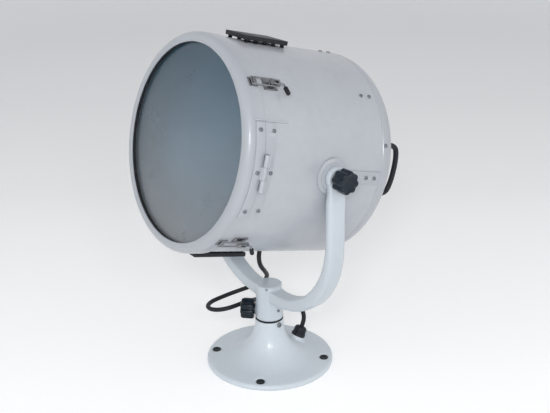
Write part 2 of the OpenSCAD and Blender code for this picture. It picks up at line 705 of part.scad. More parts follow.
module hinge_door_leaf() color("gainsboro") drum_frame() difference() {
    union() {
        bent_strip(door_r + seat, door_r + seat + leaf_t, door_r * sin(leaf_half), door_back + 1.2, leaf_front);
        knuckle(-knuckle_in, knuckle_in);
        difference() {
            translate([door_r - 5, -knuckle_in, door_back + 0.8])
                cube([pin_x - door_r + 5, 2 * knuckle_in, 5.4]);
            translate([0, 0, drum_front]) cylinder(r = door_r + seat, h = door_depth, $fn = 128);
        }
    }
    pin_bore();
    turned(leaf_screw_angles) screw_hole(door_r, door_leaf_screw_s);
}
module hinge_door_screws() color("silver") drum_frame() turned(leaf_screw_angles)
    pan_screw(door_r + leaf_t + 3 * seat, door_leaf_screw_s, leaf_t + 4);

// Door
module door_ring() color("gainsboro") drum_frame() difference() {
    rotate_extrude($fn = 128) difference() {
        polygon([[door_in, door_back], [door_r, door_back], [door_r, door_front],
            [opening_r, door_front], [opening_r, door_front - lip_t], [door_in, door_front - lip_t]]);
        corner_cut([door_r, door_front], nose_r);
    }
    turned(leaf_screw_angles) screw_hole(door_r, door_leaf_screw_s);
}
module door_glass() color("slategray") drum_frame() translate([0, 0, glass_front - glass_t])
    cylinder(r = glass_r, h = glass_t, $fn = 128);
module glass_gasket() color("#202020") drum_frame() rotate_extrude($fn = 128) polygon([
    [opening_r + 0.6, glass_front + seat], [glass_r + seat, glass_front + seat],
    [glass_r + seat, glass_front - glass_t - seat], [opening_r + 0.6, glass_front - glass_t - seat],
    [opening_r + 0.6, glass_front - glass_t - gasket_lip], [gasket_r, glass_front - glass_t - gasket_lip],
    [gasket_r, door_front - lip_t - seat], [opening_r + 0.6, door_front - lip_t - seat]]);
module glass_retainer() color("gainsboro") drum_frame()
    translate([0, 0, glass_front - glass_t - gasket_lip - seat - retainer_t])
        ring(gasket_r, opening_r, 0, retainer_t);

// Latches
module latch_bases() color("silver") drum_frame() for (l = latch_sides) rotate(l[1]) difference() {
    union() {
        bent_strip(drum_r + seat, drum_r + 1.8, 10, latch_s - 13, latch_s + 13);
        translate([drum_r + 1, -ear_half, latch_s - 5]) cube([latch_lift - 1, 2 * ear_half, 10]);
        translate([pivot_r, -ear_half, latch_s]) rotate([-90, 0, 0]) cylinder(r = 3.4, h = 2 * ear_half);
    }
    translate([pivot_r, -over - ear_half, latch_s]) rotate([-90, 0, 0])
        cylinder(r = latch_pin_r + fit, h = 2 * ear_half + 2 * over);
}
module latch_pins() color("silver") drum_frame() for (l = latch_sides) rotate(l[1])
    translate([pivot_r, -cheek_out - 0.1, latch_s]) rotate([-90, 0, 0])
        cylinder(r = latch_pin_r, h = 2 * cheek_out + 0.2);
module latch_keepers() color("silver") drum_frame() for (l = latch_sides) rotate(l[1]) {
    bent_strip(door_r + seat, door_r + keeper_t, 8, bar_s - 12, bar_s + 4);
    translate([door_r + keeper_t / 2, -3.8, bar_s - wire_r - gap - 2.2])
        cube([link_x + 2.4 - door_r - keeper_t / 2, 7.6, 2.2]);
}
module rod(a, b, r) translate(a)
    rotate([0, acos((b - a)[2] / norm(b - a)), atan2((b - a)[1], (b - a)[0])]) {
        cylinder(r = r, h = norm(b - a), $fn = 24);
        sphere(r * 1.04, $fn = 24);
    }
module latch_lever(l) color("silver") drum_frame() rotate(l[1]) {
    knee = [pivot_r + 0.5, 0, latch_s - 14];
    elbow = knee + (l[3] == 1 ? [1.5, 4 * l[2], -7] : [2.5, 1 * l[2], -8]);
    tip = knee + (l[3] == 1 ? [2.5, 20 * l[2], -9] : [10, 9 * l[2], -13]);
    difference() {
        for (m = [0, 1]) mirror([0, m, 0]) {
            translate([pivot_r, cheek_in, latch_s]) rotate([-90, 0, 0])
                cylinder(r = 3.4, h = cheek_out - cheek_in);
            translate([pivot_r - 2.5, cheek_in, latch_s - 15]) cube([5, cheek_out - cheek_in, 15]);
            translate([pivot_r - 2.5, -over, latch_s - 15]) cube([5, cheek_in + 2 * over, 3.5]);
        }
        translate([pivot_r, -2 * cheek_out, latch_s]) rotate([-90, 0, 0])
            cylinder(r = latch_pin_r + run, h = 4 * cheek_out);
        translate([link_x, -2 * cheek_out, link_s]) rotate([-90, 0, 0])
            cylinder(r = wire_r + run, h = 4 * cheek_out);
    }
    rod(knee, elbow, handle_wire_r);
    rod(elbow, tip, handle_wire_r);
    rod(tip, elbow + (tip - elbow) * 0.4, sleeve_r);
}
module latch_link(l) color("silver") drum_frame() rotate(l[1]) {
    for (m = [0, 1]) mirror([0, m, 0]) {
        rod([link_x, link_y, link_s], [link_x, cheek_in + 0.4, link_s], wire_r);
        rod([link_x, link_y, bar_s], [link_x, link_y, link_s], wire_r);
    }
    rod([link_x, link_y, bar_s], [link_x, -link_y, bar_s], wire_r);
}

// Tilt lock knobs
module tilt_knob(m) color("#202020") drum_frame() mirror([m, 0, 0]) outward(knob_from)
    lobed_knob(stud_r + fit, stud_out - knob_from + over / 2, knob_boss);

pedestal_base();
swivel_spindle();
spindle_nut();
spindle_lower_nut();
swivel_seal();
spindle_lock_screw();
base_gland();
base_gland_nut();
cable_lower();
yoke();
swivel_bushes();
hub_cap();
hub_cap_screws();
grease_plug();
brake_pad();
tilt_bushes();
tilt_washers();
cable_upper();
train_lock_stud();
train_lock_knob();
drum_shell();
rear_cover();
drum_screws();
rear_handles();
trunnion_plates();
trunnion_studs();
trunnion_nuts();
vent_covers();
vent_spacers();
drum_gland();
drum_gland_nut();
reflector();
lamp_bracket();
lamp_holder();
lamp_bulb();
terminal_block();
door_seal();
hinge_drum_leaf();
hinge_pin();
latch_bases();
latch_pins();
door_ring();
door_glass();
glass_gasket();
glass_retainer();
latch_keepers();
hinge_door_leaf();
hinge_door_screws();
tilt_knob(0);  // tilt_knob_right
tilt_knob(1);  // tilt_knob_left
latch_lever(latch_sides[0]);  // latch_lever_upper_right
latch_lever(latch_sides[1]);  // latch_lever_upper_left
latch_lever(latch_sides[2]);  // latch_lever_lower_right
latch_lever(latch_sides[3]);  // latch_lever_lower_left
latch_link(latch_sides[0]);  // latch_link_upper_right
latch_link(latch_sides[1]);  // latch_link_upper_left
latch_link(latch_sides[2]);  // latch_link_lower_right
latch_link(latch_sides[3]);  // latch_link_lower_left
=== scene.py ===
import bpy
import json
import math
from mathutils import Matrix, Vector


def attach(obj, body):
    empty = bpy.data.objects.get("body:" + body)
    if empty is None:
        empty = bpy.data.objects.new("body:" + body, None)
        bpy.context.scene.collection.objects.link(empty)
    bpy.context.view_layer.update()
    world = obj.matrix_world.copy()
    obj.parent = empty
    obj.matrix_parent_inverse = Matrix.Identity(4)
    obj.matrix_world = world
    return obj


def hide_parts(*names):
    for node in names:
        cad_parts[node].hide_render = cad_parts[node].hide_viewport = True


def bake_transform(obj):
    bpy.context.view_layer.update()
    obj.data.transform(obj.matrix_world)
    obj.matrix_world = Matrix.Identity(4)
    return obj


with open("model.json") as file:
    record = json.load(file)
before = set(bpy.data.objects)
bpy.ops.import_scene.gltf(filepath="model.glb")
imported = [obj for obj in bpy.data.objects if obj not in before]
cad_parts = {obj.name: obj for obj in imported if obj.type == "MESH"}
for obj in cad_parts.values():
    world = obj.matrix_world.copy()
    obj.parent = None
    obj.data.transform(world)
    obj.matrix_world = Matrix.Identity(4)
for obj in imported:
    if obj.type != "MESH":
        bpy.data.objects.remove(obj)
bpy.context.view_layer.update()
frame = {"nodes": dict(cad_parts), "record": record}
nodes = frame["nodes"]
body_of_node = {n: b for b, members in frame["record"]["behaviour"]["bodies"].items() for n in members}

# Sizes of the light in millimetres, as in the part's source
MM = 0.001
TILT_Z = 423
REST_TILT = 14.6
CABLE_R = 4.25
DRUM_R = 181
DRUM_WALL = 2.5
DRUM_BACK = 107
DRUM_FRONT = 144
SHOULDER_R = 38
DOME_H = 10
DOOR_R = 184
DOOR_BACK = 145
DOOR_FRONT = 178
DOOR_IN = 176
NOSE_R = 12
OPENING_R = 166.4
LIP_T = 2.6
VENT_S = 68
LATCH_PLACES = ("upper_right", "upper_left", "lower_right", "lower_left")

# The drum's own frame: x to the side, y up, z ahead along the beam
DRUM = Matrix.Translation((0, 0, TILT_Z * MM)) @ Matrix.Rotation(math.radians(90 - REST_TILT), 4, "X")
DRUM_UP = DRUM.to_3x3() @ Vector((0, 1, 0))
DRUM_AHEAD = DRUM.to_3x3() @ Vector((0, 0, 1))


def clear_selection():
    if bpy.context.object and bpy.context.object.mode != "OBJECT":
        bpy.ops.object.mode_set(mode="OBJECT")
    bpy.ops.object.select_all(action="DESELECT")


def pick(piece):
    """Makes one piece the only selected and active one."""
    clear_selection()
    piece.select_set(True)
    bpy.context.view_layer.objects.active = piece


# Camera, at the photograph's place

PHOTO_WIDTH = 550
PHOTO_HEIGHT = 413
FOCAL_PIXELS = 984.9
CAMERA_AZIMUTH = math.radians(54.823)
CAMERA_ELEVATION = math.radians(21.986)
CAMERA_ROLL = math.radians(-0.747)
CAMERA_DISTANCE = 1.783
CAMERA_REACH = 40
SENSOR_WIDTH = 36
AIM_POINT = Vector((0, 0, 0.300))
AIM_PIXEL = (268.05, 213.03)


def place_camera():
    clear_selection()
    bpy.ops.object.camera_add()
    camera = bpy.context.object
    across, level = math.cos(CAMERA_AZIMUTH), math.cos(CAMERA_ELEVATION)
    back = Vector((math.sin(CAMERA_AZIMUTH) * level, -across * level, math.sin(CAMERA_ELEVATION)))
    right = Vector((across, math.sin(CAMERA_AZIMUTH), 0))
    up = back.cross(right)
    turn, lean = math.cos(CAMERA_ROLL), math.sin(CAMERA_ROLL)
    right, up = turn * right + lean * up, turn * up - lean * right
    place = Matrix((right, up, back)).transposed().to_4x4()
    place.translation = AIM_POINT + back * CAMERA_DISTANCE
    camera.matrix_world = place
    camera.data.sensor_width = SENSOR_WIDTH
    camera.data.lens = FOCAL_PIXELS * SENSOR_WIDTH / PHOTO_WIDTH
    camera.data.shift_x = (PHOTO_WIDTH / 2 - AIM_PIXEL[0]) / PHOTO_WIDTH
    camera.data.shift_y = (AIM_PIXEL[1] - PHOTO_HEIGHT / 2) / PHOTO_WIDTH
    camera.data.clip_end = CAMERA_REACH
    bpy.context.scene.camera = camera


# Nodes of the materials

def add_node(tree, kind, **values):
    node = tree.nodes.new(kind)
    for key, value in values.items():
        setattr(node, key, value)
    return node


def feed(tree, socket, value):
    """Sets a socket to a number or a colour, or links another node's output to it."""
    if isinstance(value, (int, float)):
        socket.default_value = value
    elif isinstance(value, tuple):
        socket.default_value = (*value, 1)
    else:
        tree.links.new(value, socket)


def noise_node(tree, vector, scale, detail=4.0):
    node = tree.nodes.new("ShaderNodeTexNoise")
    tree.links.new(vector, node.inputs["Vector"])
    feed(tree, node.inputs["Scale"], scale)
    node.inputs["Detail"].default_value = detail
    node.inputs["Roughness"].default_value = 0.55
    return node


def math_node(tree, operation, a, b):
    node = add_node(tree, "ShaderNodeMath", operation=operation)
    feed(tree, node.inputs[0], a)
    feed(tree, node.inputs[1], b)
    return node.outputs[0]


def range_node(tree, value, low, high, to_low, to_high):
    node = tree.nodes.new("ShaderNodeMapRange")
    tree.links.new(value, node.inputs["Value"])
    for label, number in (("From Min", low), ("From Max", high), ("To Min", to_low), ("To Max", to_high)):
        feed(tree, node.inputs[label], number)
    return node.outputs["Result"]


def mix_node(tree, factor, a, b):
    """Mixes two colours. Sockets 6, 7 and 2 are the node's colour sockets."""
    node = add_node(tree, "ShaderNodeMix", data_type="RGBA")
    feed(tree, node.inputs["Factor"], factor)
    feed(tree, node.inputs[6], a)
    feed(tree, node.inputs[7], b)
    return node.outputs[2]


# Material effects that several finishes share

FINE_SHARE = 0.35
BROAD_SHARE = 0.65
BROAD_SCALE = 9.0
PATCH_RANGE = (0.35, 0.65)
WEAR_SCALE = 60.0
EDGE_RANGE = (0.52, 0.62)
HOLLOW_RANGE = (0.49, 0.40)
LINE_RANGE = (0.3, 0.7)


def new_group(name, inputs, outputs):
    group = bpy.data.node_groups.new(name, "ShaderNodeTree")
    for label, kind, value in inputs:
        socket = group.interface.new_socket(label, in_out="INPUT", socket_type=kind)
        if value is not None:
            socket.default_value = value
    for label in outputs:
        group.interface.new_socket(label, in_out="OUTPUT", socket_type="NodeSocketFloat")
    enter = group.nodes.new("NodeGroupInput")
    leave = group.nodes.new("NodeGroupOutput")
    return group, enter, leave


def make_grain_group():
    """Even fine grain: a colour factor, a roughness and a height."""
    group, enter, leave = new_group(
        "fine_grain",
        [("Vector", "NodeSocketVector", None), ("Scale", "NodeSocketFloat", 400.0),
         ("Smooth", "NodeSocketFloat", 0.3), ("Rough", "NodeSocketFloat", 0.5)],
        ["Factor", "Roughness", "Height"])
    fine = noise_node(group, enter.outputs["Vector"], enter.outputs["Scale"])
    broad = noise_node(group, enter.outputs["Vector"], BROAD_SCALE, 3.0)
    patch = math_node(group, "ADD", math_node(group, "MULTIPLY", fine.outputs["Fac"], FINE_SHARE),
                      math_node(group, "MULTIPLY", broad.outputs["Fac"], BROAD_SHARE))
    group.links.new(range_node(group, patch, *PATCH_RANGE, 0.0, 1.0), leave.inputs["Factor"])
    group.links.new(range_node(group, patch, *PATCH_RANGE, enter.outputs["Smooth"], enter.outputs["Rough"]),
                    leave.inputs["Roughness"])
    group.links.new(fine.outputs["Fac"], leave.inputs["Height"])
    return group


def make_wear_group():
    """Rubbed edges, and a little dust with painted shade in the hollows, as masks."""
    group, enter, leave = new_group("edge_wear", [("Vector", "NodeSocketVector", None)], ["Rubbed", "Dust_and_shade"])
    shape = group.nodes.new("ShaderNodeNewGeometry")
    broken = noise_node(group, enter.outputs["Vector"], WEAR_SCALE, 6.0)
    # The hollows' mask darkens them: dust together with painted shade
    for label, limits in (("Rubbed", EDGE_RANGE), ("Dust_and_shade", HOLLOW_RANGE)):
        mask = range_node(group, shape.outputs["Pointiness"], *limits, 0.0, 1.0)
        group.links.new(math_node(group, "MULTIPLY", mask, broken.outputs["Fac"]), leave.inputs[label])
    return group


def make_brush_group():
    """Fine lines drawn along one direction, for brushed and turned metal."""
    group, enter, leave = new_group(
        "brushed_lines",
        [("Vector", "NodeSocketVector", None), ("Stretch", "NodeSocketVector", (900.0, 900.0, 40.0))],
        ["Factor", "Height"])
    scale = add_node(group, "ShaderNodeVectorMath", operation="MULTIPLY")
    group.links.new(enter.outputs["Vector"], scale.inputs[0])
    group.links.new(enter.outputs["Stretch"], scale.inputs[1])
    lines = noise_node(group, scale.outputs[0], 1.0, 3.0)
    group.links.new(range_node(group, lines.outputs["Fac"], *LINE_RANGE, 0.0, 1.0), leave.inputs["Factor"])
    group.links.new(lines.outputs["Fac"], leave.inputs["Height"])
    return group


GRAIN = make_grain_group()
WEAR = make_wear_group()
BRUSH = make_brush_group()

# Finishes

RUBBED_PAINT = (0.72, 0.74, 0.77)
RUBBED_SHARE = 0.5
# Tone of the patches beside the main colour
PAINT_PATCH = 0.955
BLACK_PATCH = 1.5
WARE_PATCH = 0.9
METAL_GRAIN = 120.0
GLASS_GRAIN = 600.0
PAINT_COAT_ROUGHNESS = 0.12
GLASS_COAT_ROUGHNESS = 0.06


def new_material(name):
    material = bpy.data.materials.new(name)
    material.use_nodes = True
    tree = material.node_tree
    shader = tree.nodes["Principled BSDF"]
    place = tree.nodes.new("ShaderNodeTexCoord").outputs["Object"]
    return material, tree, shader, place


def place_group(tree, group, place, **values):
    node = tree.nodes.new("ShaderNodeGroup")
    node.node_tree = group
    tree.links.new(place, node.inputs["Vector"])
    for label, value in values.items():
        node.inputs[label].default_value = value
    return node


def set_bump(tree, shader, height, distance):
    bump = tree.nodes.new("ShaderNodeBump")
    bump.inputs["Distance"].default_value = distance
    bump.inputs["Strength"].default_value = 1.0
    tree.links.new(height, bump.inputs["Height"])
    tree.links.new(bump.outputs["Normal"], shader.inputs["Normal"])


def shaded(colour, share):
    return tuple(c * share for c in colour)


def paint(name, colour, dust_and_shade_colour, smooth, rough, scale, height, coat):
    """White marine enamel with orange peel, soft patches, rubbed edges, and dust with painted shade in its
    hollows.
    """
    material, tree, shader, place = new_material(name)
    grain = place_group(tree, GRAIN, place, Scale=scale, Smooth=smooth, Rough=rough)
    wear = place_group(tree, WEAR, place)
    patches = mix_node(tree, grain.outputs["Factor"], colour, shaded(colour, PAINT_PATCH))
    # Painted shade together with dust: the hollows are darkened
    dust_and_shade = mix_node(tree, wear.outputs["Dust_and_shade"], patches, dust_and_shade_colour)
    rubbed = math_node(tree, "MULTIPLY", wear.outputs["Rubbed"], RUBBED_SHARE)
    tree.links.new(mix_node(tree, rubbed, dust_and_shade, RUBBED_PAINT), shader.inputs["Base Color"])
    tree.links.new(grain.outputs["Roughness"], shader.inputs["Roughness"])
    shader.inputs["Coat Weight"].default_value = coat
    shader.inputs["Coat Roughness"].default_value = PAINT_COAT_ROUGHNESS
    set_bump(tree, shader, grain.outputs["Height"], height)
    return material


def black_finish(name, colour, worn, smooth, rough, scale, height, gloss):
    """Black rubber or moulding, a little paler in patches and along its edges."""
    material, tree, shader, place = new_material(name)
    grain = place_group(tree, GRAIN, place, Scale=scale, Smooth=smooth, Rough=rough)
    wear = place_group(tree, WEAR, place)
    patches = mix_node(tree, grain.outputs["Factor"], colour, shaded(colour, BLACK_PATCH))
    tree.links.new(mix_node(tree, wear.outputs["Rubbed"], patches, worn), shader.inputs["Base Color"])
    tree.links.new(grain.outputs["Roughness"], shader.inputs["Roughness"])
    shader.inputs["Specular IOR Level"].default_value = gloss
    set_bump(tree, shader, grain.outputs["Height"], height)
    return material


def metal(name, colour, shade, smooth, rough, lines, height):
    """Bare metal with fine lines in two tones, so many to the metre."""
    material, tree, shader, place = new_material(name)
    drawn = place_group(tree, BRUSH, place, Stretch=(lines, lines, lines))
    grain = place_group(tree, GRAIN, place, Scale=METAL_GRAIN, Smooth=smooth, Rough=rough)
    tint = mix_node(tree, drawn.outputs["Factor"], colour, shade)
    tree.links.new(tint, shader.inputs["Base Color"])
    tree.links.new(grain.outputs["Roughness"], shader.inputs["Roughness"])
    shader.inputs["Metallic"].default_value = 1.0
    set_bump(tree, shader, drawn.outputs["Height"], height)
    return material


def glass(name, painted_pale_foot, painted_dark_head, low, high, smooth, rough, clear, ior, coat):
    """Tinted glass with painted light that is paler at its foot than at its head, between two heights in
    metres: a painted reflection at the foot and painted shade at the head.
    """
    material, tree, shader, place = new_material(name)
    grain = place_group(tree, GRAIN, place, Scale=GLASS_GRAIN, Smooth=smooth, Rough=rough)
    axes = tree.nodes.new("ShaderNodeSeparateXYZ")
    tree.links.new(place, axes.inputs[0])
    # Painted reflection and shade: the colour runs from the pale foot to the darker head by height
    tint = mix_node(tree, range_node(tree, axes.outputs["Z"], low, high, 0.0, 1.0), painted_pale_foot, painted_dark_head)
    tree.links.new(tint, shader.inputs["Base Color"])
    tree.links.new(grain.outputs["Roughness"], shader.inputs["Roughness"])
    shader.inputs["Transmission Weight"].default_value = clear
    shader.inputs["IOR"].default_value = ior
    shader.inputs["Coat Weight"].default_value = coat
    shader.inputs["Coat Roughness"].default_value = GLASS_COAT_ROUGHNESS
    return material


def plain_ware(name, colour, smooth, rough, scale, height):
    """Moulded or glazed ware: bushes and the lamp holder."""
    material, tree, shader, place = new_material(name)
    grain = place_group(tree, GRAIN, place, Scale=scale, Smooth=smooth, Rough=rough)
    tree.links.new(mix_node(tree, grain.outputs["Factor"], colour, shaded(colour, WARE_PATCH)),
                   shader.inputs["Base Color"])
    tree.links.new(grain.outputs["Roughness"], shader.inputs["Roughness"])
    set_bump(tree, shader, grain.outputs["Height"], height)
    return material


# One white enamel in three copies of painted light: painted shade on the sheet metal, painted light on the
# yoke and more on the base
SHADED_SHEET_PAINT = paint("white_enamel_shaded_for_sheet", (0.43, 0.452, 0.492), dust_and_shade_colour=(0.38, 0.39, 0.40),
                    smooth=0.28, rough=0.38, scale=420.0, height=0.00004, coat=0.3)
LIT_YOKE_PAINT = paint("white_enamel_lit_for_yoke", (0.575, 0.632, 0.685), dust_and_shade_colour=(0.49, 0.52, 0.54),
                   smooth=0.28, rough=0.42, scale=190.0, height=0.00010, coat=0.3)
MOST_LIT_BASE_PAINT = paint("white_enamel_most_lit_for_base", (0.655, 0.715, 0.77), dust_and_shade_colour=(0.55, 0.58, 0.60),
                   smooth=0.28, rough=0.42, scale=190.0, height=0.00010, coat=0.3)
RUBBER = black_finish("black_rubber", (0.009, 0.010, 0.013), worn=(0.03, 0.03, 0.032),
                      smooth=0.45, rough=0.65, scale=700.0, height=0.00005, gloss=0.3)
KNOB_PLASTIC = black_finish("black_knob_gloss", (0.005, 0.011, 0.018), worn=(0.02, 0.026, 0.033),
                            smooth=0.22, rough=0.34, scale=1100.0, height=0.00002, gloss=0.3)
PLASTIC = black_finish("black_moulding", (0.009, 0.011, 0.015), worn=(0.035, 0.038, 0.042),
                       smooth=0.36, rough=0.55, scale=1100.0, height=0.00004, gloss=0.3)
STEEL = metal("stainless_steel", (0.34, 0.345, 0.36), shade=(0.24, 0.245, 0.26),
              smooth=0.22, rough=0.42, lines=700.0, height=0.00001)
SCREW = metal("dull_screw_steel", (0.30, 0.32, 0.34), shade=(0.21, 0.22, 0.24),
              smooth=0.30, rough=0.50, lines=900.0, height=0.00001)
ZINC = metal("zinc_plate", (0.52, 0.54, 0.56), shade=(0.40, 0.42, 0.44),
             smooth=0.28, rough=0.46, lines=500.0, height=0.00001)
MIRROR = metal("reflector_aluminium", (0.78, 0.86, 0.93), shade=(0.74, 0.82, 0.89),
               smooth=0.55, rough=0.62, lines=300.0, height=0.000004)
BUSH = plain_ware("bush_bronze_nylon", (0.50, 0.37, 0.20),
                  smooth=0.35, rough=0.5, scale=300.0, height=0.00003)
CERAMIC = plain_ware("lamp_ceramic", (0.50, 0.50, 0.47),
                     smooth=0.25, rough=0.4, scale=160.0, height=0.00002)
# The window's pale foot is a painted reflection of the bright floor and its dark head is painted shade; the
# bulb is graded the same way
WINDOW = glass("window_glass", painted_pale_foot=(1.0, 1.0, 1.0), painted_dark_head=(0.17, 0.33, 0.44), low=0.24, high=0.60,
               smooth=0.27, rough=0.30, clear=0.9, ior=1.5, coat=0.25)
BULB = glass("bulb_glass", painted_pale_foot=(0.74, 0.78, 0.80), painted_dark_head=(0.66, 0.70, 0.74), low=0.36, high=0.46,
             smooth=0.12, rough=0.2, clear=0.85, ior=1.45, coat=0.0)

FINISHES = {
    "white_paint": SHADED_SHEET_PAINT, "black_rubber": RUBBER, "black_plastic": PLASTIC, "steel": STEEL,
    "zinc": ZINC, "bush": BUSH, "ceramic": CERAMIC, "reflector_metal": MIRROR, "window_glass": WINDOW,
    "bulb_glass": BULB,
}
# The castings take the lighter copies of the enamel, with painted light
CASTINGS = {"pedestal_base": MOST_LIT_BASE_PAINT, "yoke": LIT_YOKE_PAINT, "hub_cap": LIT_YOKE_PAINT}
NODE_SLOTS = {
    "white_paint": ("pedestal_base", "yoke", "hub_cap", "drum_shell", "rear_cover", "trunnion_plates",
                    "lamp_bracket", "tilt_washers", "hinge_drum_leaf", "hinge_door_leaf", "door_ring",
                    "glass_retainer"),
    "black_rubber": ("swivel_seal", "cable_lower", "cable_upper", "door_seal", "glass_gasket"),
    "black_plastic": ("base_gland", "base_gland_nut", "drum_gland", "drum_gland_nut", "train_lock_knob",
                      "tilt_knob_right", "tilt_knob_left", "rear_handles", "vent_covers", "vent_spacers"),
    "steel": ("swivel_spindle", "spindle_lock_screw", "hub_cap_screws", "grease_plug", "train_lock_stud",
              "drum_screws", "trunnion_studs", "hinge_pin", "latch_bases", "latch_pins", "latch_keepers",
              "hinge_door_screws", *("latch_lever_" + p for p in LATCH_PLACES),
              *("latch_link_" + p for p in LATCH_PLACES)),
    "zinc": ("spindle_nut", "spindle_lower_nut", "trunnion_nuts"),
    "bush": ("swivel_bushes", "tilt_bushes", "brake_pad"),
    "ceramic": ("lamp_holder", "terminal_block"),
    "reflector_metal": ("reflector",),
    "window_glass": ("door_glass",),
    "bulb_glass": ("lamp_bulb",),
}
slot_of_node = {n: s for s, members in NODE_SLOTS.items() for n in members}


def finish_of(node):
    return CASTINGS[node] if node in CASTINGS else FINISHES[slot_of_node[node]]


def give(piece, material):
    piece.data.materials.clear()
    piece.data.materials.append(material)


def dress(piece, body, slot, material, *replaced):
    """Hands a finished piece to its body, with its finish and the nodes it stands for."""
    give(piece, material)
    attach(piece, body)
    if replaced:
        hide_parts(*replaced)
    return piece


def finish_nodes():
    """Every node of the source that still shows gets its finish."""
    for name, piece in nodes.items():
        give(piece, finish_of(name))


# Ways of shaping that several pieces share

WELD = 0.000002
LATHE_WELD = 0.00001
# Faces that lie flatter to each other than this are joined, in degrees
FLAT_ANGLE = 0.6
EDGE_ANGLE = 30
# Angles past which a smooth surface shows a crease, in degrees
CREASE = 35
TUBE_CREASE = 40
MOULDED_CREASE = 50
HEAD_CREASE = 32


def shade(angle):
    bpy.ops.object.shade_smooth_by_angle(angle=math.radians(angle))


def move_out(step):
    """In edit mode, extrudes what is selected by a step."""
    bpy.ops.mesh.extrude_region_move(TRANSFORM_OT_translate={"value": step})


def settle(piece, name, place=Matrix()):
    """Names a piece and puts its place into its mesh."""
    piece.name = name
    piece.matrix_world = place @ piece.matrix_world
    pick(piece)
    bpy.ops.object.transform_apply(location=True, rotation=True, scale=True)
    return piece


def add_block(size, middle, turn=0):
    """A block to start a piece or a cut from, in millimetres, turned by degrees about z."""
    clear_selection()
    bpy.ops.mesh.primitive_cube_add(size=1, location=Vector(middle) * MM, rotation=(0, 0, math.radians(turn)))
    block = bpy.context.object
    block.scale = Vector(size) * MM
    bpy.ops.object.transform_apply(location=True, rotation=True, scale=True)
    return block


def trace(points):
    """Starts from one vertex and extrudes it along the points, and stays in edit mode."""
    clear_selection()
    bpy.ops.mesh.primitive_plane_add(size=MM)
    piece = bpy.context.object
    bpy.ops.object.mode_set(mode="EDIT")
    bpy.ops.mesh.select_mode(type="VERT")
    bpy.ops.mesh.select_all(action="SELECT")
    bpy.ops.mesh.merge(type="CENTER")
    bpy.ops.transform.translate(value=points[0])
    for a, b in zip(points, points[1:]):
        bpy.ops.mesh.extrude_vertices_move(TRANSFORM_OT_translate={"value": Vector(b) - Vector(a)})
    return piece


def turn_on_lathe(name, profile, place, steps=160, crease=CREASE):
    """Spins a closed outline of (radius, height) points, in millimetres, into a solid ring."""
    outline = [Vector((r, 0, h)) * MM for r, h in profile]
    piece = trace(outline + outline[:1])
    bpy.ops.mesh.select_all(action="SELECT")
    bpy.ops.mesh.spin(steps=steps, angle=math.tau, center=(0, 0, 0), axis=(0, 0, 1))
    bpy.ops.mesh.select_all(action="SELECT")
    bpy.ops.mesh.remove_doubles(threshold=LATHE_WELD)
    bpy.ops.mesh.normals_make_consistent(inside=False)
    bpy.ops.object.mode_set(mode="OBJECT")
    settle(piece, name, place)
    shade(crease)
    return piece


def corner(centre, radius, first, last, steps=10):
    """Points of a round corner, from one angle to another, in degrees."""
    turns = [math.radians(first + (last - first) * k / steps) for k in range(steps + 1)]
    return [(centre[0] + radius * math.cos(a), centre[1] + radius * math.sin(a)) for a in turns]


def choose_faces(piece, wanted):
    """In edit mode, selects the faces that a test wants, and no others."""
    bpy.ops.mesh.select_all(action="DESELECT")
    bpy.ops.object.mode_set(mode="OBJECT")
    for face in piece.data.polygons:
        face.select = bool(wanted(face))
    bpy.ops.object.mode_set(mode="EDIT")


def break_edges(piece, width, segments):
    """Rounds the sharp edges of the active piece, by a width in millimetres."""
    bevel = piece.modifiers.new("broken_edge", "BEVEL")
    bevel.width = width * MM
    bevel.segments = segments
    bevel.limit_method = "ANGLE"
    bevel.angle_limit = math.radians(EDGE_ANGLE)
    bevel.use_clamp_overlap = True
    bpy.ops.object.modifier_apply(modifier=bevel.name)
    shade(CREASE)


def cut_away(piece, tool, name):
    """Takes a tool's shape out of a piece, and removes the tool."""
    pick(piece)
    cut = piece.modifiers.new(name, "BOOLEAN")
    cut.operation = "DIFFERENCE"
    cut.object = tool
    cut.solver = "EXACT"
    bpy.ops.object.modifier_apply(modifier=cut.name)
    bpy.data.objects.remove(tool)


def join(name, pieces):
    """Joins pieces to one, which is then the active one."""
    clear_selection()
    for piece in pieces:
        piece.select_set(True)
    bpy.context.view_layer.objects.active = pieces[0]
    bpy.ops.object.join()
    joined = bpy.context.object
    joined.name = name
    return joined


def set_out(name, master, places):
    """Copies a modelled piece to each place, each with its own mesh, and joins the copies."""
    copies = []
    for place in places:
        pick(master)
        bpy.ops.object.duplicate()
        copies.append(settle(bpy.context.object, name, place))
    return join(name, copies)


def copy_node(node, name):
    """A new piece with a copy of a node's mesh."""
    piece = bpy.data.objects.new(name, nodes[node].data.copy())
    bpy.context.scene.collection.objects.link(piece)
    return piece


def weld():
    """Joins the loose triangles of the active copy of a node, and stays in edit mode."""
    bpy.ops.object.mode_set(mode="EDIT")
    bpy.ops.mesh.select_all(action="SELECT")
    bpy.ops.mesh.remove_doubles(threshold=WELD)


def on_axis(angle, radius, height):
    """A place at an angle round the z axis, in millimetres and degrees, with its own z pointing out."""
    out = Matrix.Translation(Vector((radius, 0, height)) * MM)
    return Matrix.Rotation(math.radians(angle), 4, "Z") @ out @ Matrix.Rotation(math.radians(90), 4, "Y")


def on_drum(angle, radius, s):
    return DRUM @ on_axis(angle, radius, s)


# Cords, on the same routes as in the part's source

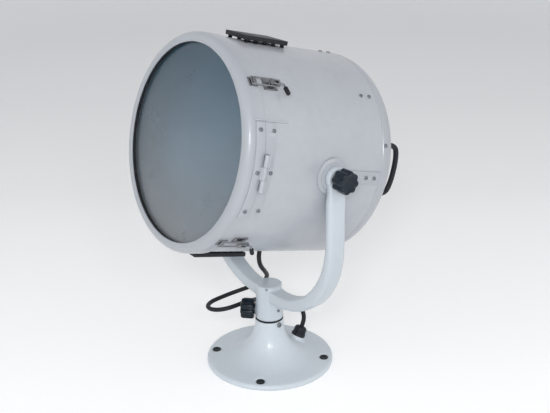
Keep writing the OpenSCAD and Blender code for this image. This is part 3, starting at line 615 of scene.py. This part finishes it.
FLARE_X, FLARE_Z, FLARE_R = 97, 82, 70
GLAND_Y = 64
GLAND_REACH = 27
DRUM_GLAND_REACH = 188
DRUM_GLAND_S = -29
gland_ahead = Vector((0, FLARE_X - GLAND_Y, math.sqrt(FLARE_R ** 2 - (FLARE_X - GLAND_Y) ** 2))) / FLARE_R
gland_tip = Vector((0, GLAND_Y, FLARE_Z - gland_ahead.z * FLARE_R)) + gland_ahead * GLAND_REACH
drum_gland_tip = Vector((0, 0, TILT_Z)) - DRUM_UP * DRUM_GLAND_REACH + DRUM_AHEAD * DRUM_GLAND_S
LOWER_ROUTE = [gland_tip + gland_ahead * 0.3, gland_tip + gland_ahead * 5] + [Vector(p) for p in (
    (-1.1, 82.7, 56.6), (-4.4, 84.9, 64.7), (-9.6, 85.4, 72.1), (-16.2, 84.3, 78.1), (-23.7, 81.6, 82.2),
    (-31.5, 77.5, 84.1), (-40, 70.5, 86.5), (-47.5, 60, 88.5), (-53.5, 47.5, 91), (-58.5, 32, 94),
    (-61, 16.5, 96.5), (-62, 0.5, 97.5), (-63, -15, 97.5), (-64, -30, 96.3), (-67, -44.5, 94),
    (-74, -57.5, 91.2), (-84.5, -67, 88.8))]
TURN = Vector((-98, -70.5, 86.5))
UPPER_ROUTE = [Vector(p) for p in (
    (-111.5, -67.5, 84.6), (-122.5, -58, 83.4), (-129, -44, 83), (-131, -28, 83.5), (-130, -11, 85.5),
    (-126, 5, 88.8), (-119, 19, 93.5), (-109, 29.5, 100), (-97, 35.5, 107.5), (-84, 37, 115.5),
    (-71.5, 35.5, 123.5), (-60.5, 32.5, 132), (-50.5, 28.5, 141), (-41.5, 24.5, 150.5),
    (-33, 18.5, 160.5), (-24.5, 9, 170.5), (-16, 0, 180.5), (-8.5, -10, 191), (-3, -18, 203),
    (-0.6, -21.5, 215))] + [drum_gland_tip - DRUM_UP * 7, drum_gland_tip - DRUM_UP * 0.3]
ROUTE_STEPS = 6
EASE_ROUNDS = 10


def bend(a, b, c, d, t):
    """A point between b and c on the smooth curve through a, b, c and d."""
    square = (2 * a - 5 * b + 4 * c - d) * t * t
    cube = (3 * b - a - 3 * c + d) * t * t * t
    return 0.5 * (2 * b + (c - a) * t + square + cube)


def smooth_route(points, steps):
    """A smooth line through the points, as the part's source draws it."""
    line = []
    for i in range(len(points) - 1):
        a, b = points[max(i - 1, 0)], points[i]
        c, d = points[i + 1], points[min(i + 2, len(points) - 1)]
        line += [bend(a, b, c, d, k / steps) for k in range(steps)]
    return line + [points[-1]]


def ease(line, rounds):
    """Takes the small unevenness out of a line, with its two end points and their neighbours kept."""
    for _ in range(rounds):
        inner = [b + ((a + c) / 2 - b) * 0.5 for a, b, c in zip(line[1:], line[2:-2], line[3:])]
        line = line[:2] + inner + line[-2:]
    return line


def run_tube(name, line, radius, swell=None):
    """A round tube along a line, as a mesh, thicker or thinner at each point by its swell."""
    curve = bpy.data.curves.new(name, "CURVE")
    curve.dimensions = "3D"
    curve.bevel_depth = radius * MM
    curve.bevel_resolution = 5
    curve.use_fill_caps = True
    spline = curve.splines.new("POLY")
    spline.points.add(len(line) - 1)
    for k, (point, place) in enumerate(zip(spline.points, line)):
        point.co = (*place, 1)
        point.radius = swell[k] if swell else 1
    piece = bpy.data.objects.new(name, curve)
    bpy.context.scene.collection.objects.link(piece)
    pick(piece)
    bpy.ops.object.convert(target="MESH")
    shade(TUBE_CREASE)
    return bpy.context.object


def make_cables():
    """The lamp's lead, in two lengths that meet at the turn of its loop."""
    route = smooth_route(LOWER_ROUTE + [TURN] + UPPER_ROUTE, ROUTE_STEPS)
    line = [p * MM for p in ease(route, EASE_ROUNDS)]
    turn = len(LOWER_ROUTE) * ROUTE_STEPS
    leads = (
        ("lamp_lead_lower", line[:turn + 1], "cable_lower", "base", "yoke",
         (-0.002, 0.083, 0.060), (-0.064, -0.030, 0.096), "loose"),
        ("lamp_lead_upper", line[turn:], "cable_upper", "yoke", "drum",
         (-0.125, -0.050, 0.083), (0, -0.021, 0.227), "hanging"))
    for name, path, node, still, moving, start, end, lay in leads:
        lead = run_tube(name, path, CABLE_R)
        give(lead, RUBBER)
        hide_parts(node)
        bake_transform(lead)


# Drum

SEAL_GROOVE_OUT = 179.6
SEAL_GROOVE_IN = 176
SEAL_GROOVE_S = 141
FRONT_FLANGE_IN = 174
FRONT_FLANGE_S = 138
SHEET_EDGE = 0.6
VENT_OPENING = (36, 60, 60)
VENT_W = 60
VENT_L = 88
VENT_LENGTHS = ((1, VENT_L), (-1, VENT_L + 20))
VENT_H = 7.5
VENT_WALL = 2
VENT_EDGE = 1.3
VENT_TOP = DRUM_R + 10.5
COVER_GAP = 0.4
COVER_EDGE = 0.8
COVER_SKIRT = 3
DOME_STEPS = 10
SPIGOT_S = -88
SPIGOT_R = DRUM_R - DRUM_WALL - 0.1
SPIGOT_T = 2.4
DISH_FOCUS = 60
DISH_S = -10
DISH_NECK_R = 24
DISH_RIM_R = 160
DISH_SEAT_S = -67.95
DISH_FLANGE_R = 178.2
DISH_T = 1.6
DISH_STEPS = 28
HANDLE_X = 112
HANDLE_R = 5
HANDLE_HALF = [
    (45, -150.6), (45, -152.4), (45, -154.6), (45, -160), (45, -172), (44.9, -183), (43.8, -191), (41, -197),
    (36.4, -200.6), (29, -203), (20, -204.8), (10, -205.7)]
HANDLE_MIDDLE = (0, -206)
HANDLE_FOOT = [1.75, 1.7, 1.2]


def make_drum_shell():
    """The barrel, with the door seal's groove in its front edge and an opening under each vent."""
    inner = DRUM_R - DRUM_WALL
    profile = [
        (inner, -DRUM_BACK), (DRUM_R - SHEET_EDGE, -DRUM_BACK), (DRUM_R, -DRUM_BACK + SHEET_EDGE),
        (DRUM_R, DRUM_FRONT - SHEET_EDGE), (DRUM_R - SHEET_EDGE, DRUM_FRONT), (SEAL_GROOVE_OUT, DRUM_FRONT),
        (SEAL_GROOVE_OUT, SEAL_GROOVE_S), (SEAL_GROOVE_IN, SEAL_GROOVE_S), (SEAL_GROOVE_IN, DRUM_FRONT),
        (FRONT_FLANGE_IN, DRUM_FRONT), (FRONT_FLANGE_IN, FRONT_FLANGE_S), (inner, FRONT_FLANGE_S)]
    shell = turn_on_lathe("drum_barrel", profile, Matrix())
    for side in (1, -1):
        cut_away(shell, add_block(VENT_OPENING, (0, side * DRUM_R, VENT_S)), "vent_opening")
    settle(shell, "drum_barrel", DRUM)
    shade(CREASE)
    dress(shell, "drum", "white_paint", SHADED_SHEET_PAINT, "drum_shell")


def make_vent_covers():
    """A flat tray with turned edges above the drum, and a longer one below."""
    covers = []
    for side, length in VENT_LENGTHS:
        tray = add_block((VENT_W, length, VENT_H), (0, 0, -VENT_H / 2))
        bpy.ops.object.mode_set(mode="EDIT")
        bpy.ops.mesh.select_mode(type="FACE")
        choose_faces(tray, lambda f: f.normal.z < -0.9)
        bpy.ops.mesh.inset(thickness=VENT_WALL * MM)
        move_out((0, 0, (VENT_H - VENT_WALL) * MM))
        bpy.ops.object.mode_set(mode="OBJECT")
        break_edges(tray, VENT_EDGE, segments=3)
        middle = VENT_S + (length - VENT_L) / 2
        lift = Matrix.Rotation(math.radians(90 * side), 4, "X") @ Matrix.Rotation(math.pi, 4, "Y")
        place = Matrix.Translation(Vector((0, side * VENT_TOP, middle)) * MM) @ lift
        covers.append(settle(tray, "vent_tray", DRUM @ place))
    dress(join("vent_trays", covers), "drum", "black_plastic", PLASTIC, "vent_covers")


def make_rear_cover():
    """A bowl with a round shoulder and a slightly domed bottom, on a spigot inside the barrel."""
    flat_r = DRUM_R - SHOULDER_R
    shoulder_z = -DRUM_BACK - COVER_SKIRT
    dome_foot = shoulder_z - SHOULDER_R
    dome_r = (flat_r ** 2 + DOME_H ** 2) / (2 * DOME_H)

    def shell(inset):
        points = corner((flat_r, shoulder_z), SHOULDER_R - inset, 0, -89, steps=20)
        for k in reversed(range(DOME_STEPS)):
            r = flat_r * k / DOME_STEPS
            points.append((r, dome_foot - DOME_H + dome_r - math.sqrt(dome_r ** 2 - r * r) + inset))
        return points

    rim = -DRUM_BACK - COVER_GAP
    outer = [(DRUM_R - COVER_EDGE, rim), (DRUM_R, rim - COVER_EDGE)] + shell(0)
    inner = shell(DRUM_WALL)[::-1]
    spigot = [(SPIGOT_R - SPIGOT_T, SPIGOT_S), (SPIGOT_R, SPIGOT_S), (SPIGOT_R, rim)]
    cover = turn_on_lathe("rear_bowl", outer + inner + spigot, DRUM)
    dress(cover, "drum", "white_paint", SHADED_SHEET_PAINT, "rear_cover")


def make_reflector():
    """A parabolic dish with a flat rim and a neck round the lamp."""

    def dish(r):
        return DISH_S + r * r / (4 * DISH_FOCUS)

    radii = [DISH_NECK_R + (DISH_RIM_R - DISH_NECK_R) * k / DISH_STEPS for k in range(DISH_STEPS + 1)]
    face = [(r, dish(r)) for r in radii]
    back = [(r + DISH_T / 2, dish(r) - DISH_T) for r in radii[::-1]]
    edge = [(DISH_FLANGE_R, dish(DISH_RIM_R)), (DISH_FLANGE_R, dish(DISH_RIM_R) - DISH_T)]
    neck = [(DISH_NECK_R + DISH_T, DISH_SEAT_S)]
    profile = [(DISH_NECK_R, DISH_SEAT_S)] + face + edge + back + neck
    mirror = turn_on_lathe("reflector_dish", profile, DRUM)
    dress(mirror, "drum", "reflector_metal", MIRROR, "reflector")


def make_handles():
    """Bow handles on the rear cover, round all along, with a small flare at each foot."""
    bow = HANDLE_HALF + [HANDLE_MIDDLE] + [(-y, s) for y, s in HANDLE_HALF[::-1]]
    flare = HANDLE_FOOT + [1.0] * (len(bow) - 2 * len(HANDLE_FOOT)) + HANDLE_FOOT[::-1]
    grips = []
    for side in (1, -1):
        line = [DRUM @ (Vector((side * HANDLE_X, y, s)) * MM) for y, s in bow]
        grips.append(run_tube("bow_grip", line, HANDLE_R, flare))
    handles = join("bow_handles", grips)
    smooth_out = handles.modifiers.new("moulded_round", "SUBSURF")
    smooth_out.levels = smooth_out.render_levels = 1
    bpy.ops.object.modifier_apply(modifier=smooth_out.name)
    shade(MOULDED_CREASE)
    dress(handles, "drum", "black_plastic", PLASTIC, "rear_handles")


# Door and its hinge

LIP_EDGE = 1.2
HINGE_END = 25.3
HINGE_CAPS = (("hinge_cap_drum", "drum", DRUM_R, 98, 143.4), ("hinge_cap_door", "door", DOOR_R, 146, 165.5))
HINGE_CAP_W = 2.4
HINGE_CAP_H = 3
HINGE_CAP_RISE = 0.7


def make_door_ring():
    """The door's ring, with a rounded nose and a lip that holds the glass."""
    profile = [(DOOR_IN, DOOR_BACK), (DOOR_R - SHEET_EDGE, DOOR_BACK), (DOOR_R, DOOR_BACK + SHEET_EDGE)]
    profile += corner((DOOR_R - NOSE_R, DOOR_FRONT - NOSE_R), NOSE_R, 0, 90, steps=16)
    profile += corner((OPENING_R + LIP_EDGE, DOOR_FRONT - LIP_EDGE), LIP_EDGE, 90, 180, steps=5)
    profile += [(OPENING_R, DOOR_FRONT - LIP_T), (DOOR_IN, DOOR_FRONT - LIP_T)]
    ring = turn_on_lathe("door_rim", profile, DRUM)
    dress(ring, "door", "white_paint", SHADED_SHEET_PAINT, "door_ring")


def make_hinge_caps():
    """Thin ledges that close the hinge's upper end, one on the door and one on the drum."""
    for name, body, radius, back, front in HINGE_CAPS:
        ledge = add_block((front - back, HINGE_CAP_W, HINGE_CAP_H), (0, 0, HINGE_CAP_RISE))
        break_edges(ledge, SHEET_EDGE, segments=2)
        settle(ledge, name, on_drum(HINGE_END, radius, (front + back) / 2))
        dress(ledge, body, "white_paint", SHADED_SHEET_PAINT)


# Latches: angle round the drum, way of the hanging handle, and its elbow and tip from the knee

UPPER_HANDLE = ((1.5, 4, -7), (2.5, 20, -9))
LOWER_HANDLE = ((2.5, 1, -8), (10, 9, -13))
LATCHES = dict(zip(LATCH_PLACES, (
    (45, -1, *UPPER_HANDLE), (135, 1, *UPPER_HANDLE), (-45, -1, *LOWER_HANDLE), (225, 1, *LOWER_HANDLE))))
LATCH_KNEE = Vector((DRUM_R + 8.5, 0, 107))
SLEEVE_R = 3.65
SLEEVE_START = 0.3


def make_latch_sleeves():
    """Black sleeves over the ends of the latch handles."""
    for name, (angle, way, elbow, tip) in LATCHES.items():
        first = LATCH_KNEE + Vector((elbow[0], elbow[1] * way, elbow[2]))
        last = LATCH_KNEE + Vector((tip[0], tip[1] * way, tip[2]))
        start = first + (last - first) * SLEEVE_START
        length = (last - start).length
        profile = [(0, 0), (2.8, 0), (3.4, 0.6), (SLEEVE_R, 1.6)] + corner((0, length), SLEEVE_R, 0, 90)
        turned = (last - start).to_track_quat("Z", "Y").to_matrix().to_4x4()
        place = DRUM @ Matrix.Rotation(math.radians(angle), 4, "Z") @ Matrix.Translation(start * MM) @ turned
        sleeve = turn_on_lathe("handle_sleeve_" + name, profile, place, steps=32, crease=TUBE_CREASE)
        dress(sleeve, "lever_" + name, "black_rubber", RUBBER)


# Knobs: node, place, height of the boss, and radius and depth of the bore

TILT_KNOB_X = 198.6
KNOBS = (
    ("tilt_knob_right", on_drum(0, TILT_KNOB_X, 0), 5, 6.05, 23),
    ("tilt_knob_left", on_drum(180, TILT_KNOB_X, 0), 5, 6.05, 23),
    ("train_lock_knob", on_axis(225, 27.1, 104), 2, 5.05, 16))
KNOB_BOSS_R = 10
KNOB_LOBES = 8
KNOB_WAIST = 12
KNOB_FADE = 5
KNOB_HOLLOW = 0.14
# Radius and height above the boss along the knob's side and over its dished face
KNOB_SIDE = (
    (18.4, 0), (19.6, 0.8), (20, 2.2), (20, 19), (19.7, 21), (19, 22.5), (17.9, 23.4), (16.6, 23.8),
    (15.4, 23.6), (14.4, 22.9), (13.2, 22.3), (11, 21.9), (6, 21.6), (0, 21.5))


def make_knob(node, place, boss, bore, depth):
    """A lobed hand knob with a dished face."""
    name = node + "_hand"
    rise = [(KNOB_BOSS_R, 0), (KNOB_BOSS_R, boss)] + [(r, boss + h) for r, h in KNOB_SIDE]
    knob = turn_on_lathe(name, [(bore, 0)] + rise + [(0, depth), (bore, depth)], Matrix(), steps=128)
    for vertex in knob.data.vertices:
        reach = math.hypot(vertex.co.x, vertex.co.y) / MM
        if reach > KNOB_WAIST:
            turn = math.atan2(vertex.co.y, vertex.co.x)
            hollow = KNOB_HOLLOW * min((reach - KNOB_WAIST) / KNOB_FADE, 1)
            shrink = 1 - hollow * (0.5 - 0.5 * math.cos(KNOB_LOBES * turn)) ** 1.5
            vertex.co.x *= shrink
            vertex.co.y *= shrink
    settle(knob, name, place)
    shade(MOULDED_CREASE)
    dress(knob, body_of_node[node], "black_plastic", KNOB_PLASTIC, node)


# Plugs and screws

PLUG_CIRCLE_R = 104
PLUG_OUTLINE = (
    (0, 2), (6.2, 2), (6.5, 2.6), (6.5, 9.6), (7.8, 9.6), (7.8, 10.6), (7.4, 10.9), (6.6, 10.8), (5.8, 10.2),
    (0, 10))
# Radius and height of the screws' heads
DRUM_SCREW = (3.3, 2.1)
HUB_SCREW = (2.7, 1.9)
NECK_SCREW = (5, 3)
SHANK_R = 2
SHANK_L = 6
HEAD_WALL = 0.55
HEAD_SIDES = 28
# Share drawn in and share of the height at each step of the crown
HEAD_STEPS = ((0.10, 0.25), (0.14, 0.13), (0.20, 0.07))
# Length and width of the recess by the head's radius, and its depth by the height
RECESS = (1.15, 0.24, 0.9)
# How far the heads stand off: on the bare sheet, on the hinge's leaves and on the trunnion plates
ON_SHEET = 0.05
ON_LEAF = 2.15
ON_PLATE = 2.3
REAR_SCREWS_S = (-74, -92.5)
COVER_SCREW_ANGLE = 17.7
COVER_SCREW_S = -113
LEAF_ANGLES = (-20.5, 0, 20.5)
DRUM_LEAF_S = 127.5
DOOR_LEAF_S = 155.5
CAP_SCREWS = [on_axis(-47 + 120 * k, 22.6, 156.4) for k in range(3)]
GREASE_PLUG = on_axis(5.4, 26, 111.1)
NECK_SCREW_PLACE = on_axis(6, 27.3, 82)


def make_hole_plugs():
    """Black plugs that close the four deck holes."""
    plug = turn_on_lathe("deck_hole_plug", PLUG_OUTLINE, Matrix(), steps=40)
    out = Matrix.Translation((PLUG_CIRCLE_R * MM, 0, 0))
    places = [Matrix.Rotation(math.radians(45 + 90 * k), 4, "Z") @ out for k in range(4)]
    dress(set_out("deck_hole_plugs", plug, places), "base", "black_plastic", PLASTIC)
    bpy.data.objects.remove(plug)


def make_screw(head_r, head_h):
    """A pan head screw that stands on the origin and points up, with a cross recess."""
    clear_selection()
    wall = HEAD_WALL * head_h * MM
    middle = (0, 0, wall / 2)
    bpy.ops.mesh.primitive_cylinder_add(vertices=HEAD_SIDES, radius=head_r * MM, depth=wall, location=middle)
    screw = bpy.context.object
    bpy.ops.object.transform_apply(location=True)
    bpy.ops.object.mode_set(mode="EDIT")
    bpy.ops.mesh.select_mode(type="FACE")
    choose_faces(screw, lambda f: f.normal.z > 0.9)
    for inset, rise in HEAD_STEPS:
        move_out((0, 0, rise * head_h * MM))
        bpy.ops.transform.resize(value=(1 - inset, 1 - inset, 1), center_override=(0, 0, head_h * MM))
    choose_faces(screw, lambda f: f.normal.z < -0.9)
    bpy.ops.mesh.inset(thickness=(head_r - SHANK_R) * MM)
    move_out((0, 0, -SHANK_L * MM))
    bpy.ops.object.mode_set(mode="OBJECT")
    for turn in (0, 90):
        blade = add_block((head_r * RECESS[0], head_r * RECESS[1], head_h * RECESS[2]), (0, 0, head_h), turn)
        cut_away(screw, blade, "recess")
    shade(HEAD_CREASE)
    return screw


def make_screws():
    screw = make_screw(*DRUM_SCREW)
    drum = []
    for angle in range(0, 360, 45):
        seat = DRUM_R + (ON_PLATE if angle % 180 == 0 else ON_SHEET)
        drum += [on_drum(angle, seat, s) for s in REAR_SCREWS_S]
    drum += [on_drum(a, DRUM_R + ON_LEAF, DRUM_LEAF_S) for a in LEAF_ANGLES]
    drum += [on_drum(COVER_SCREW_ANGLE, DRUM_R + ON_SHEET, COVER_SCREW_S)]
    dress(set_out("drum_screw_heads", screw, drum), "drum", "steel", SCREW, "drum_screws")
    door = [on_drum(a, DOOR_R + ON_LEAF, DOOR_LEAF_S) for a in LEAF_ANGLES]
    dress(set_out("hinge_screw_heads", screw, door), "door", "steel", SCREW, "hinge_door_screws")
    bpy.data.objects.remove(screw)
    small = make_screw(*HUB_SCREW)
    dress(set_out("cap_screw_heads", small, CAP_SCREWS), "yoke", "steel", SCREW, "hub_cap_screws")
    dress(set_out("grease_plug_head", small, [GREASE_PLUG]), "yoke", "steel", SCREW, "grease_plug")
    bpy.data.objects.remove(small)
    large = make_screw(*NECK_SCREW)
    neck = set_out("neck_screw_head", large, [NECK_SCREW_PLACE])
    dress(neck, "base", "steel", SCREW, "spindle_lock_screw")
    bpy.data.objects.remove(large)


# Castings

# Voxel in millimetres and rounds of smoothing
YOKE_MOULD = (1.6, 14)
BASE_MOULD = (1.7, 10)
ARM_GROUP = "arms"
UPRIGHT_GROUP = "uprights"
ARM_ROUNDS = 30
ARM_FILL = 2.8
# Where the arms begin outside the hub and end below the eyes, and over what length they fade, in metres
HUB_EDGE_R = 0.030
EYE_FOOT_Z = 0.398
ARM_FADE = 0.014
UPRIGHT_X = 0.06
UPRIGHT_FADE = 0.09


def fettle(piece, rounds, group=""):
    """Rounds a casting off, all over or only where a vertex group says."""
    relax = piece.modifiers.new("fettling", "SMOOTH")
    relax.factor = 0.5
    relax.iterations = rounds
    relax.vertex_group = group
    bpy.ops.object.modifier_apply(modifier=relax.name)


def cast(name, voxel, rounds, *members):
    """Joins copies of nodes to one casting, with its edges and inside corners round as from a sand mould."""
    piece = join(name, [copy_node(node, name) for node in members])
    weld()
    bpy.ops.object.mode_set(mode="OBJECT")
    remesh = piece.modifiers.new("sand_mould", "REMESH")
    remesh.mode = "VOXEL"
    remesh.voxel_size = voxel * MM
    bpy.ops.object.modifier_apply(modifier=remesh.name)
    fettle(piece, rounds)
    bpy.ops.object.shade_smooth()
    return dress(piece, body_of_node[members[0]], "white_paint", CASTINGS[members[0]], *members)


def round_arms(yoke):
    """Rounds the yoke's arms more than its hub and its eyes, and fills out their upright parts."""
    pick(yoke)
    arms = yoke.vertex_groups.new(name=ARM_GROUP)
    uprights = yoke.vertex_groups.new(name=UPRIGHT_GROUP)
    for vertex in yoke.data.vertices:
        past_hub = (math.hypot(vertex.co.x, vertex.co.y) - HUB_EDGE_R) / ARM_FADE
        upright = (abs(vertex.co.x) - UPRIGHT_X) / UPRIGHT_FADE
        below_eye = (EYE_FOOT_Z - vertex.co.z) / ARM_FADE
        for group, start in ((arms, past_hub), (uprights, upright)):
            weight = min(start, below_eye, 1)
            if weight > 0:
                group.add([vertex.index], weight, "REPLACE")
    fettle(yoke, ARM_ROUNDS, ARM_GROUP)
    fill = yoke.modifiers.new("full_section", "DISPLACE")
    fill.mid_level = 0
    fill.strength = ARM_FILL * MM
    fill.vertex_group = UPRIGHT_GROUP
    bpy.ops.object.modifier_apply(modifier=fill.name)
    yoke.vertex_groups.clear()
    bpy.ops.object.shade_smooth()


# Copies of the source's solids with broken edges, and the width of each broken edge in millimetres

BROKEN_EDGES = {
    "trunnion_plates": 0.8, "hinge_drum_leaf": 0.4, "hinge_door_leaf": 0.4, "swivel_seal": 0.4,
    "base_gland": 0.6, "base_gland_nut": 0.8, "drum_gland": 0.6, "vent_spacers": 0, "latch_bases": 0.3,
    "latch_keepers": 0.4, "tilt_washers": 0.3, **{"latch_lever_" + p: 0.25 for p in LATCH_PLACES},
    **{"latch_link_" + p: 0 for p in LATCH_PLACES},
}


def soften(node, width):
    """A copy of a node whose triangles are joined to faces, with its sharp edges broken by a small bevel."""
    piece = copy_node(node, node + "_finished")
    pick(piece)
    weld()
    bpy.ops.mesh.dissolve_limited(angle_limit=math.radians(FLAT_ANGLE))
    bpy.ops.object.mode_set(mode="OBJECT")
    if width:
        break_edges(piece, width, segments=2)
    shade(CREASE)
    dress(piece, body_of_node[node], slot_of_node[node], finish_of(node), node)


# Stage and light

FLOOR_R = 3.2
WALL_H = 1.6
WALL_STEPS = 10
# Colour of the floor's paper at distances behind the light, in metres, and the span of its ramp: painted
# shade, darker far behind
PAPER_SHADE_STOPS = (
    (-0.4, (0.97, 0.97, 0.97)), (0.05, (0.95, 0.95, 0.95)), (0.74, (0.94, 0.94, 0.945)),
    (1.8, (0.80, 0.805, 0.815)), (3.6, (0.70, 0.705, 0.72)))
PAPER_START = -0.4
PAPER_SPAN = 4.2
# Glow of the paper for the eye alone, from near to far: two distances and two strengths
PAPER_GLOW = (-0.1, 0.9, 0.25, 0.10)
PAPER_ROUGHNESS = 0.9
PAPER_GLOSS = 0.1
SKY_COLOUR = (0.97, 0.985, 1.0, 1)
# Strength of the sky from the level to overhead, and from behind the light to before it
SKY_RISE = (1.5, 0.4)
SKY_TURN = (0.65, 1.15)
# Name, place, size and power of the lamps
LAMPS = (
    ("key_softbox", (2.0, -1.65, 1.65), 0.5, 20),
    ("side_softbox", (2.4, -1.0, 1.65), 0.45, 7))
LAMP_AIM = Vector((0, 0, 0.3))


def raise_wall():
    """In edit mode, extrudes the floor's edge outwards and up along a quarter circle."""
    turns = [math.radians(90 * k / WALL_STEPS) for k in range(WALL_STEPS + 1)]
    for a, b in zip(turns, turns[1:]):
        radius = FLOOR_R + WALL_H * math.sin(a)
        grow = (FLOOR_R + WALL_H * math.sin(b)) / radius
        move_out((0, 0, WALL_H * (math.cos(a) - math.cos(b))))
        bpy.ops.transform.resize(value=(grow, grow, 1), center_override=(0, 0, 0))


def make_paper():
    """Pale paper with painted shade that darkens it with the distance behind the light."""
    material, tree, shader, place = new_material("studio_paper")
    away = add_node(tree, "ShaderNodeVectorMath", operation="DOT_PRODUCT")
    tree.links.new(place, away.inputs[0])
    away.inputs[1].default_value = (-math.sin(CAMERA_AZIMUTH), math.cos(CAMERA_AZIMUTH), 0)
    distance = away.outputs["Value"]
    # Painted shade: the paper darkens with the distance behind the light
    ramp = tree.nodes.new("ShaderNodeValToRGB")
    along = range_node(tree, distance, PAPER_START, PAPER_START + PAPER_SPAN, 0.0, 1.0)
    tree.links.new(along, ramp.inputs["Fac"])
    for _ in PAPER_SHADE_STOPS[2:]:
        ramp.color_ramp.elements.new(0.5)
    for element, (stop, colour) in zip(ramp.color_ramp.elements, PAPER_SHADE_STOPS):
        element.position = (stop - PAPER_START) / PAPER_SPAN
        element.color = (*colour, 1)
    tree.links.new(ramp.outputs["Color"], shader.inputs["Base Color"])
    seen = tree.nodes.new("ShaderNodeLightPath").outputs
    mirrored = math_node(tree, "MAXIMUM", seen["Is Glossy Ray"], seen["Is Transmission Ray"])
    rays = math_node(tree, "MAXIMUM", seen["Is Camera Ray"], mirrored)
    glow = range_node(tree, distance, *PAPER_GLOW)
    tree.links.new(math_node(tree, "MULTIPLY", rays, glow), shader.inputs["Emission Strength"])
    shader.inputs["Emission Color"].default_value = (1, 1, 1, 1)
    shader.inputs["Roughness"].default_value = PAPER_ROUGHNESS
    shader.inputs["Specular IOR Level"].default_value = PAPER_GLOSS
    return material


def make_stage():
    """A pale round floor that turns up into a low wall far behind."""
    clear_selection()
    bpy.ops.mesh.primitive_circle_add(vertices=96, radius=FLOOR_R, fill_type="NGON")
    floor = bpy.context.object
    floor.name = "studio_floor"
    bpy.ops.object.mode_set(mode="EDIT")
    bpy.ops.mesh.select_all(action="SELECT")
    bpy.ops.mesh.select_mode(type="EDGE")
    bpy.ops.mesh.region_to_loop()
    raise_wall()
    bpy.ops.mesh.select_all(action="SELECT")
    bpy.ops.mesh.normals_make_consistent(inside=True)
    bpy.ops.object.mode_set(mode="OBJECT")
    bpy.ops.object.shade_smooth()
    give(floor, make_paper())


def light_studio():
    """A soft sky, brighter near the level and before the light, and two softboxes."""
    scene = bpy.context.scene
    scene.world = bpy.data.worlds.new("studio")
    scene.world.use_nodes = True
    sky = scene.world.node_tree
    background = sky.nodes["Background"]
    background.inputs["Color"].default_value = SKY_COLOUR
    axes = sky.nodes.new("ShaderNodeSeparateXYZ")
    direction = sky.nodes.new("ShaderNodeTexCoord").outputs["Generated"]
    sky.links.new(direction, axes.inputs[0])
    ahead = add_node(sky, "ShaderNodeVectorMath", operation="DOT_PRODUCT")
    sky.links.new(direction, ahead.inputs[0])
    ahead.inputs[1].default_value = (math.sin(CAMERA_AZIMUTH), -math.cos(CAMERA_AZIMUTH), 0)
    level = math_node(sky, "MULTIPLY", range_node(sky, axes.outputs["Z"], 0.0, 1.0, *SKY_RISE),
                      range_node(sky, ahead.outputs["Value"], -1.0, 1.0, *SKY_TURN))
    sky.links.new(level, background.inputs["Strength"])
    for name, place, size, power in LAMPS:
        clear_selection()
        bpy.ops.object.light_add(type="AREA", location=place)
        lamp = bpy.context.object
        lamp.name = name
        lamp.data.shape = "DISK"
        lamp.data.size = size
        lamp.data.energy = power
        lamp.rotation_euler = (LAMP_AIM - Vector(place)).to_track_quat("-Z", "Y").to_euler()
    scene.view_settings.view_transform = "Standard"


place_camera()
make_cables()
make_drum_shell()
make_door_ring()
make_rear_cover()
make_reflector()
make_vent_covers()
make_latch_sleeves()
for knob in KNOBS:
    make_knob(*knob)
make_handles()
make_hole_plugs()
make_hinge_caps()
make_screws()
round_arms(cast("yoke_casting", *YOKE_MOULD, "yoke", "hub_cap"))
cast("base_casting", *BASE_MOULD, "pedestal_base")
for node, width in BROKEN_EDGES.items():
    soften(node, width)
finish_nodes()
make_stage()
light_studio()
